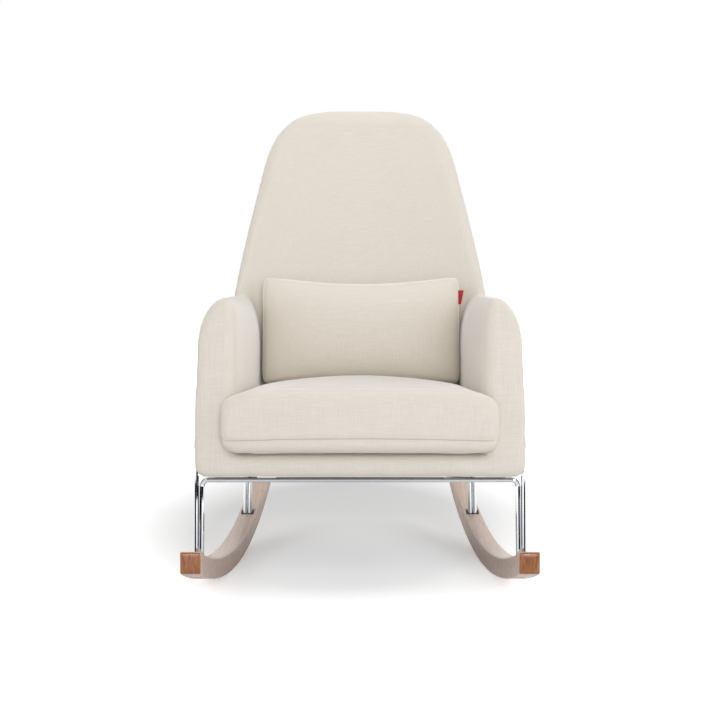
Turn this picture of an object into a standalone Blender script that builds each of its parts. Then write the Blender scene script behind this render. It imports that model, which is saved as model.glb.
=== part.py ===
"""Upholstered rocking chair: a padded tub on a bent-rod base with bentwood rockers.

Metres, +Z up. The chair faces -Y, and +X is on the right of someone who looks at its front.
Depths are measured back from the front ends of the rockers. The origin lies on the floor,
midway along the rockers, in the chair's plane of symmetry.
"""

import math

import bmesh
import bpy
from mathutils import Matrix, Vector
from mathutils.bvhtree import BVHTree

# Clearances
FIT = 0.0003  # between hard pieces that seat on each other
SOFT_FIT = 0.0006  # between a pad and what it lies against

# Rockers: arcs rolled on one cylinder, closer together at the rear than at the front
ROCKER_RUN = 0.955
ROCKER_RADIUS = 1.294
ROCKER_CONTACT = 0.410  # depth of the facet that rests on the floor
ROCKER_FACET = math.radians(2.0)
ROCKER_WIDTH = 0.0444
ROCKER_THICKNESS = 0.045
ROCKER_EDGE = 0.003
ROCKER_SPREAD = 0.7096  # between centre lines, at the front ends
TOE_IN = 0.0918  # sideways run of rockers, side rods and body sides per metre of depth

# Chrome rods: one loop across the front, one across the rear and one along each side
ROD_DIAMETER = 0.011
FRONT_LEG_DEPTH = 0.091
REAR_LEG_INSET = 0.024  # ahead of the back's rear face
LEG_SPLAY = 0.0028  # how far a foot stands outside the top of its leg
CROSSBAR_HEIGHT = 0.253
CROSSBAR_BEND = 0.014
SIDE_RAIL_HEIGHT = 0.362
SIDE_BEND = 0.040
ROD_SOCKET_DEPTH = 0.009

# Steel foot blocks let into the rockers, each held by one bolt from below
FOOT_BLOCK_WIDTH = 0.032
FOOT_BLOCK_LENGTH = 0.026
FOOT_BLOCK_HEIGHT = 0.020
FOOT_BOLT_RADIUS = 0.003
FOOT_BOLT_HEAD_RADIUS = 0.005
FOOT_BOLT_HEAD_HEIGHT = 0.005
FOOT_BOLT_RECESS = 0.003  # of the head, below the rolling face
FOOT_BOLT_GRIP = 0.008  # length of thread in the block

# Steel tabs on the crossbars, bolted up into the seat rails
TAB_WIDTH = 0.040
TAB_LENGTH = 0.042
TAB_THICKNESS = 0.003
TAB_SPACING_FRONT = 0.400
TAB_SPACING_REAR = 0.280
TAB_BOLT_RADIUS = 0.003
TAB_BOLT_HEAD_RADIUS = 0.005
TAB_BOLT_HEAD_HEIGHT = 0.004
TAB_BOLT_GRIP = 0.016
TAB_BOLT_OFFSET = 0.022  # from the crossbar towards the middle of the seat

# Padded body
BODY_LIFT = 0.0035  # over the crossbars
BODY_EDGE = 0.020  # radius along the lower outside edges
BODY_SIDE_GAP = 0.0008  # between the side rods and the cloth
ARM_FRONT_DEPTH = 0.045
ARM_TOP = 0.644
ARM_CREST = 0.281  # the crest of each arm runs straight back at this half width
ARM_INNER_FRONT = 0.260
ARM_INNER_TAPER = 0.0367
ARM_FRONT_SWELL = 0.003
ARM_FRONT_ROUND = 0.016
ARM_OUTER_DROP_FRONT = 0.140
ARM_OUTER_DROP_REAR = 0.060
ARM_INNER_DROP_FRONT = 0.045
ARM_INNER_DROP_REAR = 0.130
FRONT_RAIL_PAD_DEPTH = 0.040
FRONT_RAIL_PAD_DROP = 0.0032  # below the deck

# Bell-shaped back
BACK_TOP = 1.111
BACK_SHOULDER_HEIGHT = 0.637
BACK_SHOULDER_HALF = 0.3095
BACK_SIDE_SLOPE = 0.2038  # how fast it narrows above the shoulder
BACK_LOWER_SLOPE = 0.032  # how fast it narrows below the shoulder
BACK_SHOULDER_SOFT = 0.030  # height over which the one turns into the other
BACK_CROWN_START = 0.900
BACK_CROWN_RISE_POWER = 3.6
BACK_CROWN_SIDE_POWER = 3.8
BACK_FRONT_DEPTH = 0.560  # of the front face at seat height, on the centre line
BACK_FRONT_SLOPE = 0.0649
BACK_FRONT_CURVE = 0.1808
BACK_BASE_THICKNESS = 0.175
BACK_REAR_SLOPE = -0.0975
BACK_REAR_CURVE = 0.2089
BACK_WRAP = 0.055  # how far the front face comes forward at its sides
BACK_WRAP_TOP = 0.012
BACK_BOW = 0.026  # how far the rear face comes forward at its sides
BACK_FRONT_CORNER = 0.028
BACK_FRONT_CORNER_LOW = 0.012
BACK_REAR_CORNER = 0.050
BACK_TOP_ROUND = 0.050
ARM_BITE = 0.006  # how far an arm's padding is laid over the back before it is trimmed to it

# Plywood and hardwood frame
PANEL_THICKNESS = 0.021
PANEL_FRONT_HALF = 0.304  # half width to the panel's middle plane at its front edge
PANEL_FRONT_DEPTH = 0.0856
PANEL_TAPER = 0.0647
PANEL_TOP_PAD = 0.054
PANEL_REAR_GAP = 0.0264  # between the arm frame and the back's wrapped side
PANEL_FRAME_WIDTH = 0.058
PANEL_WINDOW_LOW = 0.334
PANEL_GUSSET = 0.018  # between the tail and the rear edge of the arm frame
PANEL_TAIL_DROP = 0.004  # of the tail below the padding behind it
PANEL_TAIL_SHORT = 0.42  # share of the rear rail's width that runs on past the tail
SEAT_RAIL_WIDTH = 0.050
POST_THICKNESS = 0.022
POST_DEPTH = 0.034
POST_SIDE_PAD = 0.034
POST_TOP_PAD = 0.071
BACK_RAIL_HEIGHT = 0.060
BACK_RAIL_LOWER = 0.360
BACK_RAIL_MIDDLE = 0.640
BACK_STRAPS_PER_BAY = 2
BACK_CAVITY_ROOM = 0.0035  # in front of the posts, for the straps
BACK_REAR_WALL = 0.011  # padding behind the hollow of the back
RIBBON_STEP = 0.060  # height of one straight stretch of the curved back frame
CORNER_BLOCK_LEG = 0.060
CORNER_BLOCK_HEIGHT = 0.030

# Sprung seat
SEAT_RISE = 0.054  # top of the deck over the body's underside, at the front of the arms
SEAT_PITCH = math.radians(1.4)
DECK_THICKNESS = 0.012
STRAP_THICKNESS = 0.002
STRAP_WIDTH = 0.050
SEAT_STRAPS = 5
SEAT_STRAP_PITCH = 0.085
DUST_COVER_THICKNESS = 0.001

# Loose seat cushion
CUSHION_FRONT_DEPTH = 0.008
CUSHION_EAR_HALF = 0.293  # where it swells in front of the arms
CUSHION_SIDE_HEIGHT = 0.112
CUSHION_CROWN = 0.037  # rise of the top's middle over its side edges
CUSHION_CROWN_FRONT = 0.36  # share of that rise left at the front
CUSHION_CROWN_REAR = 0.55
CUSHION_CROWN_RUN = 0.210  # depth over which the crown rises
CUSHION_CORNER = 0.030
CUSHION_FRONT_ROUND = 0.034
CUSHION_SIDE_GAP = 0.0020
CUSHION_REAR_GAP = 0.006

# Loose lumbar pillow
PILLOW_WIDTH = 0.466
PILLOW_HEIGHT = 0.256
PILLOW_THICKNESS = 0.118
PILLOW_SAG = 0.012  # of the upper and lower edges between the corners
PILLOW_TILT = math.radians(9.0)
PILLOW_SEAM = 0.005
PILLOW_BACKOFF = 0.004  # held off the back while it is set down
TAPE_WIDTH = 0.0125
TAPE_HEIGHT = 0.034
TAPE_THICKNESS = 0.0016
TAPE_RISE = 0.052  # above the pillow's middle

# Sizes that follow from these
ROD_RADIUS = ROD_DIAMETER / 2
ROD_PITCH = ROD_DIAMETER + FIT  # between the two rods of a leg
BACK_REAR_DEPTH = BACK_FRONT_DEPTH + BACK_BASE_THICKNESS
REAR_LEG_DEPTH = BACK_REAR_DEPTH - REAR_LEG_INSET
BODY_BOTTOM = CROSSBAR_HEIGHT + ROD_RADIUS + BODY_LIFT
TAB_LOW = CROSSBAR_HEIGHT + ROD_RADIUS + FIT
FRAME_BOTTOM = TAB_LOW + TAB_THICKNESS + DUST_COVER_THICKNESS + 2 * FIT
SEAT_HEIGHT = BODY_BOTTOM + SEAT_RISE
FRONT_RAIL_PAD_TOP = SEAT_HEIGHT - FRONT_RAIL_PAD_DROP
PANEL_TOP = ARM_TOP - PANEL_TOP_PAD
POST_TOP = BACK_TOP - POST_TOP_PAD
SIDES = {"left": -1, "right": 1}
LEG_DEPTHS = {"front": FRONT_LEG_DEPTH, "rear": REAR_LEG_DEPTH}


def y_at(depth):
    """Y of a depth behind the rockers' front ends."""
    return depth - ROCKER_RUN / 2


def blend(low, high, share):
    """Value between two others, held at the ends."""
    return low + (high - low) * min(max(share, 0.0), 1.0)


def smooth(share):
    """Ease in and out between 0 and 1."""
    share = min(max(share, 0.0), 1.0)
    return share * share * (3 - 2 * share)


# Scene, materials and basic shapes


def clear_scene():
    for obj in list(bpy.data.objects):
        bpy.data.objects.remove(obj, do_unlink=True)


def new_collection(name):
    collection = bpy.data.collections.new(name)
    bpy.context.scene.collection.children.link(collection)
    return collection


def principled(name, colour, roughness, metallic=0.0):
    material = bpy.data.materials.new(name)
    material.use_nodes = True
    shader = material.node_tree.nodes["Principled BSDF"]
    shader.inputs["Base Color"].default_value = (*colour, 1.0)
    shader.inputs["Roughness"].default_value = roughness
    shader.inputs["Metallic"].default_value = metallic
    material.diffuse_color = (*colour, 1.0)
    return material


class Workshop:
    """Keeps the collections and materials, and turns meshes into pieces or cutters."""

    def __init__(self):
        self.parts = new_collection("rocking_chair")
        self.cutters = new_collection("cutters")
        self.cutters.hide_render = True
        self.finish = {
            "linen": principled("linen", (0.73, 0.68, 0.61), 0.9),
            "walnut": principled("walnut", (0.28, 0.12, 0.06), 0.45),
            "chrome": principled("chrome", (0.85, 0.86, 0.87), 0.06, 1.0),
            "steel": principled("steel", (0.25, 0.25, 0.26), 0.4, 1.0),
            "plywood": principled("plywood", (0.62, 0.46, 0.29), 0.7),
            "webbing": principled("webbing", (0.16, 0.14, 0.12), 0.9),
            "cambric": principled("cambric", (0.03, 0.03, 0.03), 0.95),
            "tape": principled("tape", (0.55, 0.03, 0.03), 0.8),
        }

    def piece(self, name, mesh, finish, matrix=None, round_angle=40):
        obj = bpy.data.objects.new(name, mesh)
        self.parts.objects.link(obj)
        mesh.materials.append(self.finish[finish])
        mesh.shade_smooth()
        mesh.set_sharp_from_angle(angle=math.radians(round_angle))
        if matrix is not None:
            obj.matrix_world = matrix
        return obj

    def cutter(self, name, mesh, matrix=None):
        obj = bpy.data.objects.new(name, mesh)
        self.cutters.objects.link(obj)
        obj.hide_render = True
        obj.display_type = "WIRE"
        if matrix is not None:
            obj.matrix_world = matrix
        return obj

    def cut(self, obj, cutter):
        modifier = obj.modifiers.new("cut " + cutter.name, "BOOLEAN")
        modifier.operation = "DIFFERENCE"
        modifier.solver = "EXACT"
        modifier.object = cutter


def finish_mesh(name, bm):
    bmesh.ops.recalc_face_normals(bm, faces=bm.faces)
    mesh = bpy.data.meshes.new(name)
    bm.to_mesh(mesh)
    bm.free()
    return mesh


def loft(name, rings):
    """Closed skin through rings of equally many points, with a face on each end."""
    bm = bmesh.new()
    rows = [[bm.verts.new(point) for point in ring] for ring in rings]
    count = len(rows[0])
    for row, following in zip(rows, rows[1:]):
        for i in range(count):
            j = (i + 1) % count
            bm.faces.new((row[i], row[j], following[j], following[i]))
    bm.faces.new(rows[0])
    bm.faces.new(rows[-1])
    return finish_mesh(name, bm)


def curve_mesh(name, data):
    """Mesh of a curve with its caps welded on."""
    holder = bpy.data.objects.new(name, data)
    bpy.context.scene.collection.objects.link(holder)
    graph = bpy.context.evaluated_depsgraph_get()
    mesh = bpy.data.meshes.new_from_object(holder.evaluated_get(graph))
    bpy.data.objects.remove(holder, do_unlink=True)
    bm = bmesh.new()
    bm.from_mesh(mesh)
    bmesh.ops.remove_doubles(bm, verts=bm.verts, dist=1e-6)
    bpy.data.meshes.remove(mesh)
    return finish_mesh(name, bm)


def slab(name, outline, low, high, holes=()):
    """Flat plate of a plan outline between two heights."""
    data = bpy.data.curves.new(name, "CURVE")
    data.dimensions = "2D"
    data.fill_mode = "BOTH"
    data.extrude = (high - low) / 2
    for points in (outline, *holes):
        spline = data.splines.new("POLY")
        spline.points.add(len(points) - 1)
        for target, (x, y) in zip(spline.points, points):
            target.co = (x, y, 0.0, 1.0)
        spline.use_cyclic_u = True
    mesh = curve_mesh(name, data)
    mesh.transform(Matrix.Translation((0, 0, (low + high) / 2)))
    return mesh


def rod(name, points):
    """Round rod along a path."""
    data = bpy.data.curves.new(name, "CURVE")
    data.dimensions = "3D"
    data.bevel_depth = ROD_RADIUS
    data.bevel_resolution = 3
    data.use_fill_caps = True
    spline = data.splines.new("POLY")
    spline.points.add(len(points) - 1)
    for target, point in zip(spline.points, points):
        target.co = (*point, 1.0)
    return curve_mesh(name, data)


def cylinder(name, radius, low, high, sides=16):
    bm = bmesh.new()
    bmesh.ops.create_cone(
        bm,
        cap_ends=True,
        segments=sides,
        radius1=radius,
        radius2=radius,
        depth=high - low,
        matrix=Matrix.Translation((0, 0, (low + high) / 2)),
    )
    return finish_mesh(name, bm)


def block(name, width, length, low, high, edge=0.0):
    """Upright block about its local origin, with its edges eased."""
    bm = bmesh.new()
    place = Matrix.Translation((0, 0, (low + high) / 2))
    size = Matrix.Diagonal((width, length, high - low, 1))
    bmesh.ops.create_cube(bm, size=1.0, matrix=place @ size)
    if edge:
        bmesh.ops.bevel(bm, geom=bm.edges, offset=edge, segments=1, affect="EDGES")
    return finish_mesh(name, bm)


def bolt(name, radius, length, head_radius, head_height):
    """Shank upwards from the origin and a round head below it, turned from one profile."""
    steps = 12
    profile = (
        (head_radius * 0.55, -head_height * 0.45),
        (head_radius * 0.55, -head_height),
        (head_radius * 0.9, -head_height),
        (head_radius, -head_height * 0.85),
        (head_radius, 0.0),
        (radius, 0.0),
        (radius, length - radius * 0.4),
        (radius * 0.7, length),
    )
    rings = []
    for r, z in profile:
        turns = [2 * math.pi * i / steps for i in range(steps)]
        rings.append([(r * math.cos(a), r * math.sin(a), z) for a in turns])
    return loft(name, rings)


def arc(centre, radii, start, end, steps):
    """Points of an elliptic arc in a plane, with angles in degrees."""
    points = []
    for i in range(steps + 1):
        angle = math.radians(start + (end - start) * i / steps)
        points.append((centre[0] + radii[0] * math.cos(angle), centre[1] + radii[1] * math.sin(angle)))
    return points


def rounded_box(low, high, radius, steps=2):
    """Outline of a rectangle with round corners, anticlockwise from the lower right."""
    centres = (
        (high[0] - radius, low[1] + radius, -90),
        (high[0] - radius, high[1] - radius, 0),
        (low[0] + radius, high[1] - radius, 90),
        (low[0] + radius, low[1] + radius, 180),
    )
    points = []
    for x, y, start in centres:
        points += arc((x, y), (radius, radius), start, start + 90, steps)
    return points


def filleted(corners, radius, steps=6):
    """Path through corners with its inner corners bent to a radius."""
    corners = [Vector(corner) for corner in corners]
    path = [corners[0]]
    for before, corner, after in zip(corners, corners[1:], corners[2:]):
        back = (before - corner).normalized()
        ahead = (after - corner).normalized()
        half = back.angle(ahead) / 2
        middle = corner + (back + ahead).normalized() * radius / math.sin(half)
        first = (corner + back * radius / math.tan(half) - middle).normalized()
        last = (corner + ahead * radius / math.tan(half) - middle).normalized()
        for i in range(steps + 1):
            path.append(middle + first.slerp(last, i / steps) * radius)
    path.append(corners[-1])
    return path


# Rockers


def rocker_half(depth):
    """Half width to a rocker's centre line."""
    return ROCKER_SPREAD / 2 - TOE_IN * depth


def rocker_height(depth, radius):
    """Height of an arc about the rockers' roll centre."""
    level = ROCKER_RADIUS * math.cos(ROCKER_FACET / 2)
    return level - math.sqrt(radius**2 - (depth - ROCKER_CONTACT) ** 2)


def rocker_low(depth):
    return rocker_height(depth, ROCKER_RADIUS)


def rocker_high(depth):
    return rocker_height(depth, ROCKER_RADIUS - ROCKER_THICKNESS)


def rocker_tilt(depth):
    """Slope of the rocker at a depth, as a turn about X."""
    return math.asin((depth - ROCKER_CONTACT) / (ROCKER_RADIUS - ROCKER_THICKNESS / 2))


def rocker_stations():
    """Depths of the facets' edges, so that one facet lies flat on the floor."""
    first = math.ceil(math.asin(-ROCKER_CONTACT / ROCKER_RADIUS) / ROCKER_FACET - 0.5)
    last = math.floor(math.asin((ROCKER_RUN - ROCKER_CONTACT) / ROCKER_RADIUS) / ROCKER_FACET - 0.5)
    turns = [(i + 0.5) * ROCKER_FACET for i in range(first, last + 1)]
    inner = [ROCKER_CONTACT + ROCKER_RADIUS * math.sin(turn) for turn in turns]
    margin = ROCKER_EDGE * 2
    return [depth for depth in inner if margin < depth < ROCKER_RUN - margin]


def rocker_mesh(name, side):
    stations = [(0.0, ROCKER_EDGE * 0.7), (ROCKER_EDGE, 0.0)]
    stations += [(depth, 0.0) for depth in rocker_stations()]
    stations += [(ROCKER_RUN - ROCKER_EDGE, 0.0), (ROCKER_RUN, ROCKER_EDGE * 0.7)]
    rings = []
    for depth, inset in stations:
        half = ROCKER_WIDTH / 2 - inset
        low = (-half, rocker_low(depth) + inset)
        high = (half, rocker_high(depth) - inset)
        ring = rounded_box(low, high, ROCKER_EDGE)
        rings.append([(side * rocker_half(depth) + x, y_at(depth), z) for x, z in ring])
    return loft(name, rings)


def foot_frame(side, depth):
    """Frame on a rocker's upper face under a leg, with Z along the rocker's thickness."""
    origin = Vector((side * rocker_half(depth), y_at(depth), rocker_high(depth)))
    return Matrix.Translation(origin) @ Matrix.Rotation(rocker_tilt(depth), 4, "X")


def build_rockers(shop):
    for side_name, side in SIDES.items():
        name = "rocker_" + side_name
        rocker = shop.piece(name, rocker_mesh(name, side), "walnut", round_angle=30)
        for end, depth in LEG_DEPTHS.items():
            build_foot(shop, rocker, side, depth, end + "_" + side_name)


def build_foot(shop, rocker, side, depth, label):
    """Block let into the rocker, bored for two rods, and the bolt that holds it."""
    frame = foot_frame(side, depth)
    bottom = -FOOT_BLOCK_HEIGHT
    pocket = block(
        "pocket_" + label,
        FOOT_BLOCK_WIDTH + 2 * FIT,
        FOOT_BLOCK_LENGTH + 2 * FIT,
        bottom - FIT,
        FOOT_BLOCK_HEIGHT,
    )
    shop.cut(rocker, shop.cutter("pocket_" + label, pocket, frame))
    head_top = FOOT_BOLT_RECESS + FOOT_BOLT_HEAD_HEIGHT - ROCKER_THICKNESS
    counterbore = cylinder(
        "counterbore_" + label,
        FOOT_BOLT_HEAD_RADIUS + 3 * FIT,
        head_top - 2 * FOOT_BLOCK_HEIGHT,
        head_top + FIT,
    )
    shop.cut(rocker, shop.cutter("counterbore_" + label, counterbore, frame))
    hole_radius = FOOT_BOLT_RADIUS + FIT
    hole = cylinder("foot_hole_" + label, hole_radius, head_top - FIT, bottom + FOOT_BOLT_GRIP + FIT, 12)
    hole_cutter = shop.cutter("foot_hole_" + label, hole, frame)
    shop.cut(rocker, hole_cutter)
    foot = block(
        "foot_block_" + label, FOOT_BLOCK_WIDTH, FOOT_BLOCK_LENGTH, bottom, 0.0, edge=0.0008
    )
    foot = shop.piece("foot_block_" + label, foot, "steel", frame)
    shop.cut(foot, hole_cutter)
    for x in leg_rods(side, depth, 0.0):
        socket = cylinder("socket", ROD_RADIUS + FIT, -ROD_SOCKET_DEPTH - FIT, FOOT_BLOCK_HEIGHT)
        place = Matrix.Translation((x, y_at(depth), rocker_high(depth)))
        shop.cut(foot, shop.cutter("socket_" + label, socket, place))
    shank = bottom + FOOT_BOLT_GRIP - head_top
    mesh = bolt(
        "rocker_bolt_" + label, FOOT_BOLT_RADIUS, shank, FOOT_BOLT_HEAD_RADIUS, FOOT_BOLT_HEAD_HEIGHT
    )
    shop.piece("rocker_bolt_" + label, mesh, "steel", frame @ Matrix.Translation((0, 0, head_top)))


# Rod base


def leg_rods(side, depth, rise):
    """X of the outer and inner rod of a leg. rise is 0 at the foot and 1 at the body."""
    middle = rocker_half(depth) - LEG_SPLAY * rise
    return (side * (middle + ROD_PITCH / 2), side * (middle - ROD_PITCH / 2))


def side_rod_half(depth):
    """Half width to a side rod's axis beside the body."""
    return leg_rods(1, depth, 1.0)[0]


def rod_foot(depth):
    return rocker_high(depth) - ROD_SOCKET_DEPTH


def build_rods(shop):
    for end, depth in LEG_DEPTHS.items():
        y = y_at(depth)
        foot = leg_rods(1, depth, 0.0)[1]
        top = leg_rods(1, depth, 1.0)[1]
        corners = [
            (-foot, y, rod_foot(depth)),
            (-top, y, CROSSBAR_HEIGHT),
            (top, y, CROSSBAR_HEIGHT),
            (foot, y, rod_foot(depth)),
        ]
        name = end + "_loop_rod"
        shop.piece(name, rod(name, filleted(corners, CROSSBAR_BEND)), "chrome")
    for side_name, side in SIDES.items():
        front = y_at(FRONT_LEG_DEPTH)
        rear = y_at(REAR_LEG_DEPTH)
        corners = [
            (leg_rods(side, FRONT_LEG_DEPTH, 0.0)[0], front, rod_foot(FRONT_LEG_DEPTH)),
            (leg_rods(side, FRONT_LEG_DEPTH, 1.0)[0], front, SIDE_RAIL_HEIGHT),
            (leg_rods(side, REAR_LEG_DEPTH, 1.0)[0], rear, SIDE_RAIL_HEIGHT),
            (leg_rods(side, REAR_LEG_DEPTH, 0.0)[0], rear, rod_foot(REAR_LEG_DEPTH)),
        ]
        name = "side_loop_rod_" + side_name
        shop.piece(name, rod(name, filleted(corners, SIDE_BEND)), "chrome")


def tab_places():
    """Label, X, depth of the bolt and direction to the crossbar for each tab."""
    for side_name, side in SIDES.items():
        yield "front_" + side_name, side * TAB_SPACING_FRONT / 2, FRONT_LEG_DEPTH + TAB_BOLT_OFFSET, -1
        yield "rear_" + side_name, side * TAB_SPACING_REAR / 2, REAR_LEG_DEPTH - TAB_BOLT_OFFSET, 1


def build_tabs(shop, rails, dust_cover):
    """Tabs on top of the crossbars and the bolts that go up through them."""
    for label, x, depth, towards in tab_places():
        shift = towards * (TAB_BOLT_OFFSET + ROD_RADIUS - TAB_LENGTH / 2)
        frame = Matrix.Translation((x, y_at(depth), TAB_LOW))
        plate = block("mount_tab_" + label, TAB_WIDTH, TAB_LENGTH, 0.0, TAB_THICKNESS)
        plate.transform(Matrix.Translation((0, shift, 0)))
        plate = shop.piece("mount_tab_" + label, plate, "chrome", frame)
        hole_name = "tab_hole_" + label
        hole = cylinder(hole_name, TAB_BOLT_RADIUS + FIT, -TAB_THICKNESS, TAB_BOLT_GRIP + FIT, 12)
        hole = shop.cutter(hole_name, hole, frame)
        for target in (plate, dust_cover, rails[label.split("_")[0]]):
            shop.cut(target, hole)
        name = "mount_bolt_" + label
        mesh = bolt(name, TAB_BOLT_RADIUS, TAB_BOLT_GRIP, TAB_BOLT_HEAD_RADIUS, TAB_BOLT_HEAD_HEIGHT)
        shop.piece(name, mesh, "steel", frame @ Matrix.Translation((0, 0, -FIT)))


# Outline of the padded body


def arm_outer(depth):
    """Half width of the body's side, just inside the side rods and fuller ahead of them."""
    full = ARM_FRONT_DEPTH + ARM_FRONT_ROUND
    free = FRONT_LEG_DEPTH - ROD_DIAMETER
    swell = 1 - smooth((depth - full) / (free - full))
    return side_rod_half(depth) - ROD_RADIUS - BODY_SIDE_GAP + ARM_FRONT_SWELL * swell


def arm_inner(depth):
    return ARM_INNER_FRONT - ARM_INNER_TAPER * (depth - ARM_FRONT_DEPTH)


def back_half(height):
    """Half width of the back: it swells to the shoulder, narrows and closes in a bell."""
    rise = height - BACK_SHOULDER_HEIGHT
    lean = (BACK_SIDE_SLOPE - BACK_LOWER_SLOPE) / 2
    turn = (BACK_SIDE_SLOPE + BACK_LOWER_SLOPE) / 2
    half = BACK_SHOULDER_HALF - lean * rise - turn * math.hypot(rise, BACK_SHOULDER_SOFT)
    share = (height - BACK_CROWN_START) / (BACK_TOP - BACK_CROWN_START)
    if share <= 0:
        return half
    return half * (1 - min(share, 1.0) ** BACK_CROWN_RISE_POWER) ** (1 / BACK_CROWN_SIDE_POWER)


def back_front(x, height):
    """Depth of the back's front face."""
    rise = height - SEAT_HEIGHT
    middle = BACK_FRONT_DEPTH + BACK_FRONT_SLOPE * rise + BACK_FRONT_CURVE * rise * rise
    share = (height - BACK_SHOULDER_HEIGHT) / (BACK_TOP - BACK_SHOULDER_HEIGHT)
    wrap = blend(BACK_WRAP, BACK_WRAP_TOP, share)
    return middle - wrap * (x / back_half(min(height, BACK_CROWN_START))) ** 2


def back_rear(x, height):
    """Depth of the back's rear face."""
    rise = height - BODY_BOTTOM
    middle = BACK_REAR_DEPTH + BACK_REAR_SLOPE * rise + BACK_REAR_CURVE * rise * rise
    return middle - BACK_BOW * (x / back_half(min(height, BACK_CROWN_START))) ** 2


def back_ring(height, grow=0.0, squeeze=0.0):
    """Level outline of the back. grow moves it outwards, and squeeze thins it."""
    half = back_half(height) + grow
    share = (height - ARM_TOP) / (BACK_CROWN_START - ARM_TOP)
    front_corner = min(blend(BACK_FRONT_CORNER_LOW, BACK_FRONT_CORNER, share), half * 0.5)
    rear_corner = min(BACK_REAR_CORNER, half * 0.5)
    thick = back_rear(0, height) - back_front(0, height)
    thin = squeeze * thick / 2

    def front(x):
        return back_front(x, height) - grow + thin

    def rear(x):
        return back_rear(x, height) + grow - thin

    reach = half - front_corner
    points = [(reach * i / 5, front(reach * i / 5)) for i in range(5)]
    room = max(rear(reach) - front(reach), 0.002)
    front_corner_depth = min(front_corner, room * 0.3)
    centre = (reach, front(reach) + front_corner_depth)
    points += arc(centre, (front_corner, front_corner_depth), -90, 0, 2)
    run = rear(half - rear_corner) - front(reach)
    narrow = half - TOE_IN * max(run - 0.02, 0)
    reach = narrow - rear_corner
    rear_corner_depth = min(rear_corner, room * 0.5)
    centre = (reach, rear(reach) - rear_corner_depth)
    points += arc(centre, (rear_corner, rear_corner_depth), 0, 90, 3)
    points += [(reach * i / 3, rear(reach * i / 3)) for i in (2, 1, 0)]
    mirrored = [(-x, depth) for x, depth in reversed(points[1:-1])]
    return [(x, y_at(depth), height) for x, depth in points + mirrored]


def back_mesh(name):
    rings = []
    for drop, inset in ((0.0, 0.7), (0.2, 0.25), (0.7, 0.0)):
        rings.append(back_ring(BODY_BOTTOM + BODY_EDGE * drop, grow=-BODY_EDGE * inset))
    levels = 9
    first = BODY_BOTTOM + 2 * BODY_EDGE
    for i in range(levels):
        rings.append(back_ring(first + (BACK_CROWN_START - first) * i / levels))
    crown_steps = 11
    rise = BACK_TOP - BACK_CROWN_START
    for i in range(crown_steps + 1):
        height = BACK_CROWN_START + rise * math.sin(math.pi / 2 * i / (crown_steps + 0.7))
        over = max(0.0, (height - BACK_TOP + BACK_TOP_ROUND) / BACK_TOP_ROUND)
        rings.append(back_ring(height, squeeze=1 - math.sqrt(1 - over * over)))
    return loft(name, rings)


def arm_section(side, depth, inset=0.0):
    """Upright outline across an arm: flat sides, an ellipse over the outside and one inside."""
    share = (depth - ARM_FRONT_DEPTH) / (BACK_FRONT_DEPTH - ARM_FRONT_DEPTH)
    outer = arm_outer(depth) - inset
    inner = arm_inner(depth) + inset
    low = BODY_BOTTOM + inset
    high = ARM_TOP - inset
    crest = min(max(ARM_CREST, inner + 0.002), outer - 0.002)
    outer_drop = blend(ARM_OUTER_DROP_FRONT, ARM_OUTER_DROP_REAR, share)
    inner_drop = blend(ARM_INNER_DROP_FRONT, ARM_INNER_DROP_REAR, share)
    edge = max(BODY_EDGE - inset, 0.004)
    ring = [(inner, low), (outer - edge, low)]
    ring += arc((outer - edge, low + edge), (edge, edge), -60, 0, 2)
    ring += arc((crest, high - outer_drop), (outer - crest, outer_drop), 0, 90, 6)
    ring += arc((crest, high - inner_drop), (crest - inner, inner_drop), 105, 180, 5)
    ring.append((inner, (low + high - inner_drop) / 2))
    return [(side * x, y_at(depth), z) for x, z in ring]


def arm_mesh(name, side):
    rings = []
    for share, inset in ((0.0, 1.0), (0.12, 0.5), (0.4, 0.15), (1.0, 0.0)):
        depth = ARM_FRONT_DEPTH + ARM_FRONT_ROUND * share
        rings.append(arm_section(side, depth, ARM_FRONT_ROUND * inset))
    start = FRONT_LEG_DEPTH - ROD_DIAMETER
    span = back_front(ARM_CREST, BODY_BOTTOM) - start
    for share in (0.0, 0.25, 0.5, 0.75, 0.93):
        rings.append(arm_section(side, start + span * share))
    end = []
    for x, _, z in arm_section(side, back_front(ARM_CREST, ARM_TOP)):
        half = max(abs(x), arm_inner(BACK_FRONT_DEPTH))
        end.append((x, y_at(back_front(half, z) + ARM_BITE), z))
    rings.append(end)
    return loft(name, rings)


def panel_half(depth):
    """Half width to the middle plane of a side panel."""
    return PANEL_FRONT_HALF - PANEL_TAPER * (depth - PANEL_FRONT_DEPTH)


def panel_inner(depth):
    return panel_half(depth) - PANEL_THICKNESS / 2 - FIT


def open_height():
    """Height up to which the padding is open towards the seat frame."""
    return deck_height(FRONT_LEG_DEPTH) - DECK_THICKNESS


def deck_height(depth):
    """Height of the deck's upper face."""
    return SEAT_HEIGHT - math.tan(SEAT_PITCH) * (depth - ARM_FRONT_DEPTH)


def strap_low(depth):
    return deck_height(depth) - DECK_THICKNESS - STRAP_THICKNESS - 2 * FIT


def frame_depth(height):
    """Depth of the middle of the back's frame."""
    return (back_front(0, height) + back_rear(0, height) - BACK_BOW) / 2


def post_rear():
    """Depth of the back posts' rear faces at their feet."""
    return frame_depth(FRAME_BOTTOM) + POST_DEPTH / 2


def post_half(height):
    """Half width to the outer face of a back post, which follows the bell above the panels."""
    return min(panel_inner(post_rear()), back_half(height) - POST_SIDE_PAD)


def rear_frame_depth():
    """Depth of the rear end of the seat frame, behind the feet of the back posts."""
    return post_rear() + FIT + SEAT_RAIL_WIDTH


def panel_rear_depth():
    """Depth of the rear edge of a side panel's arm frame."""
    return back_front(ARM_CREST, SEAT_HEIGHT) - PANEL_REAR_GAP


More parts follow.
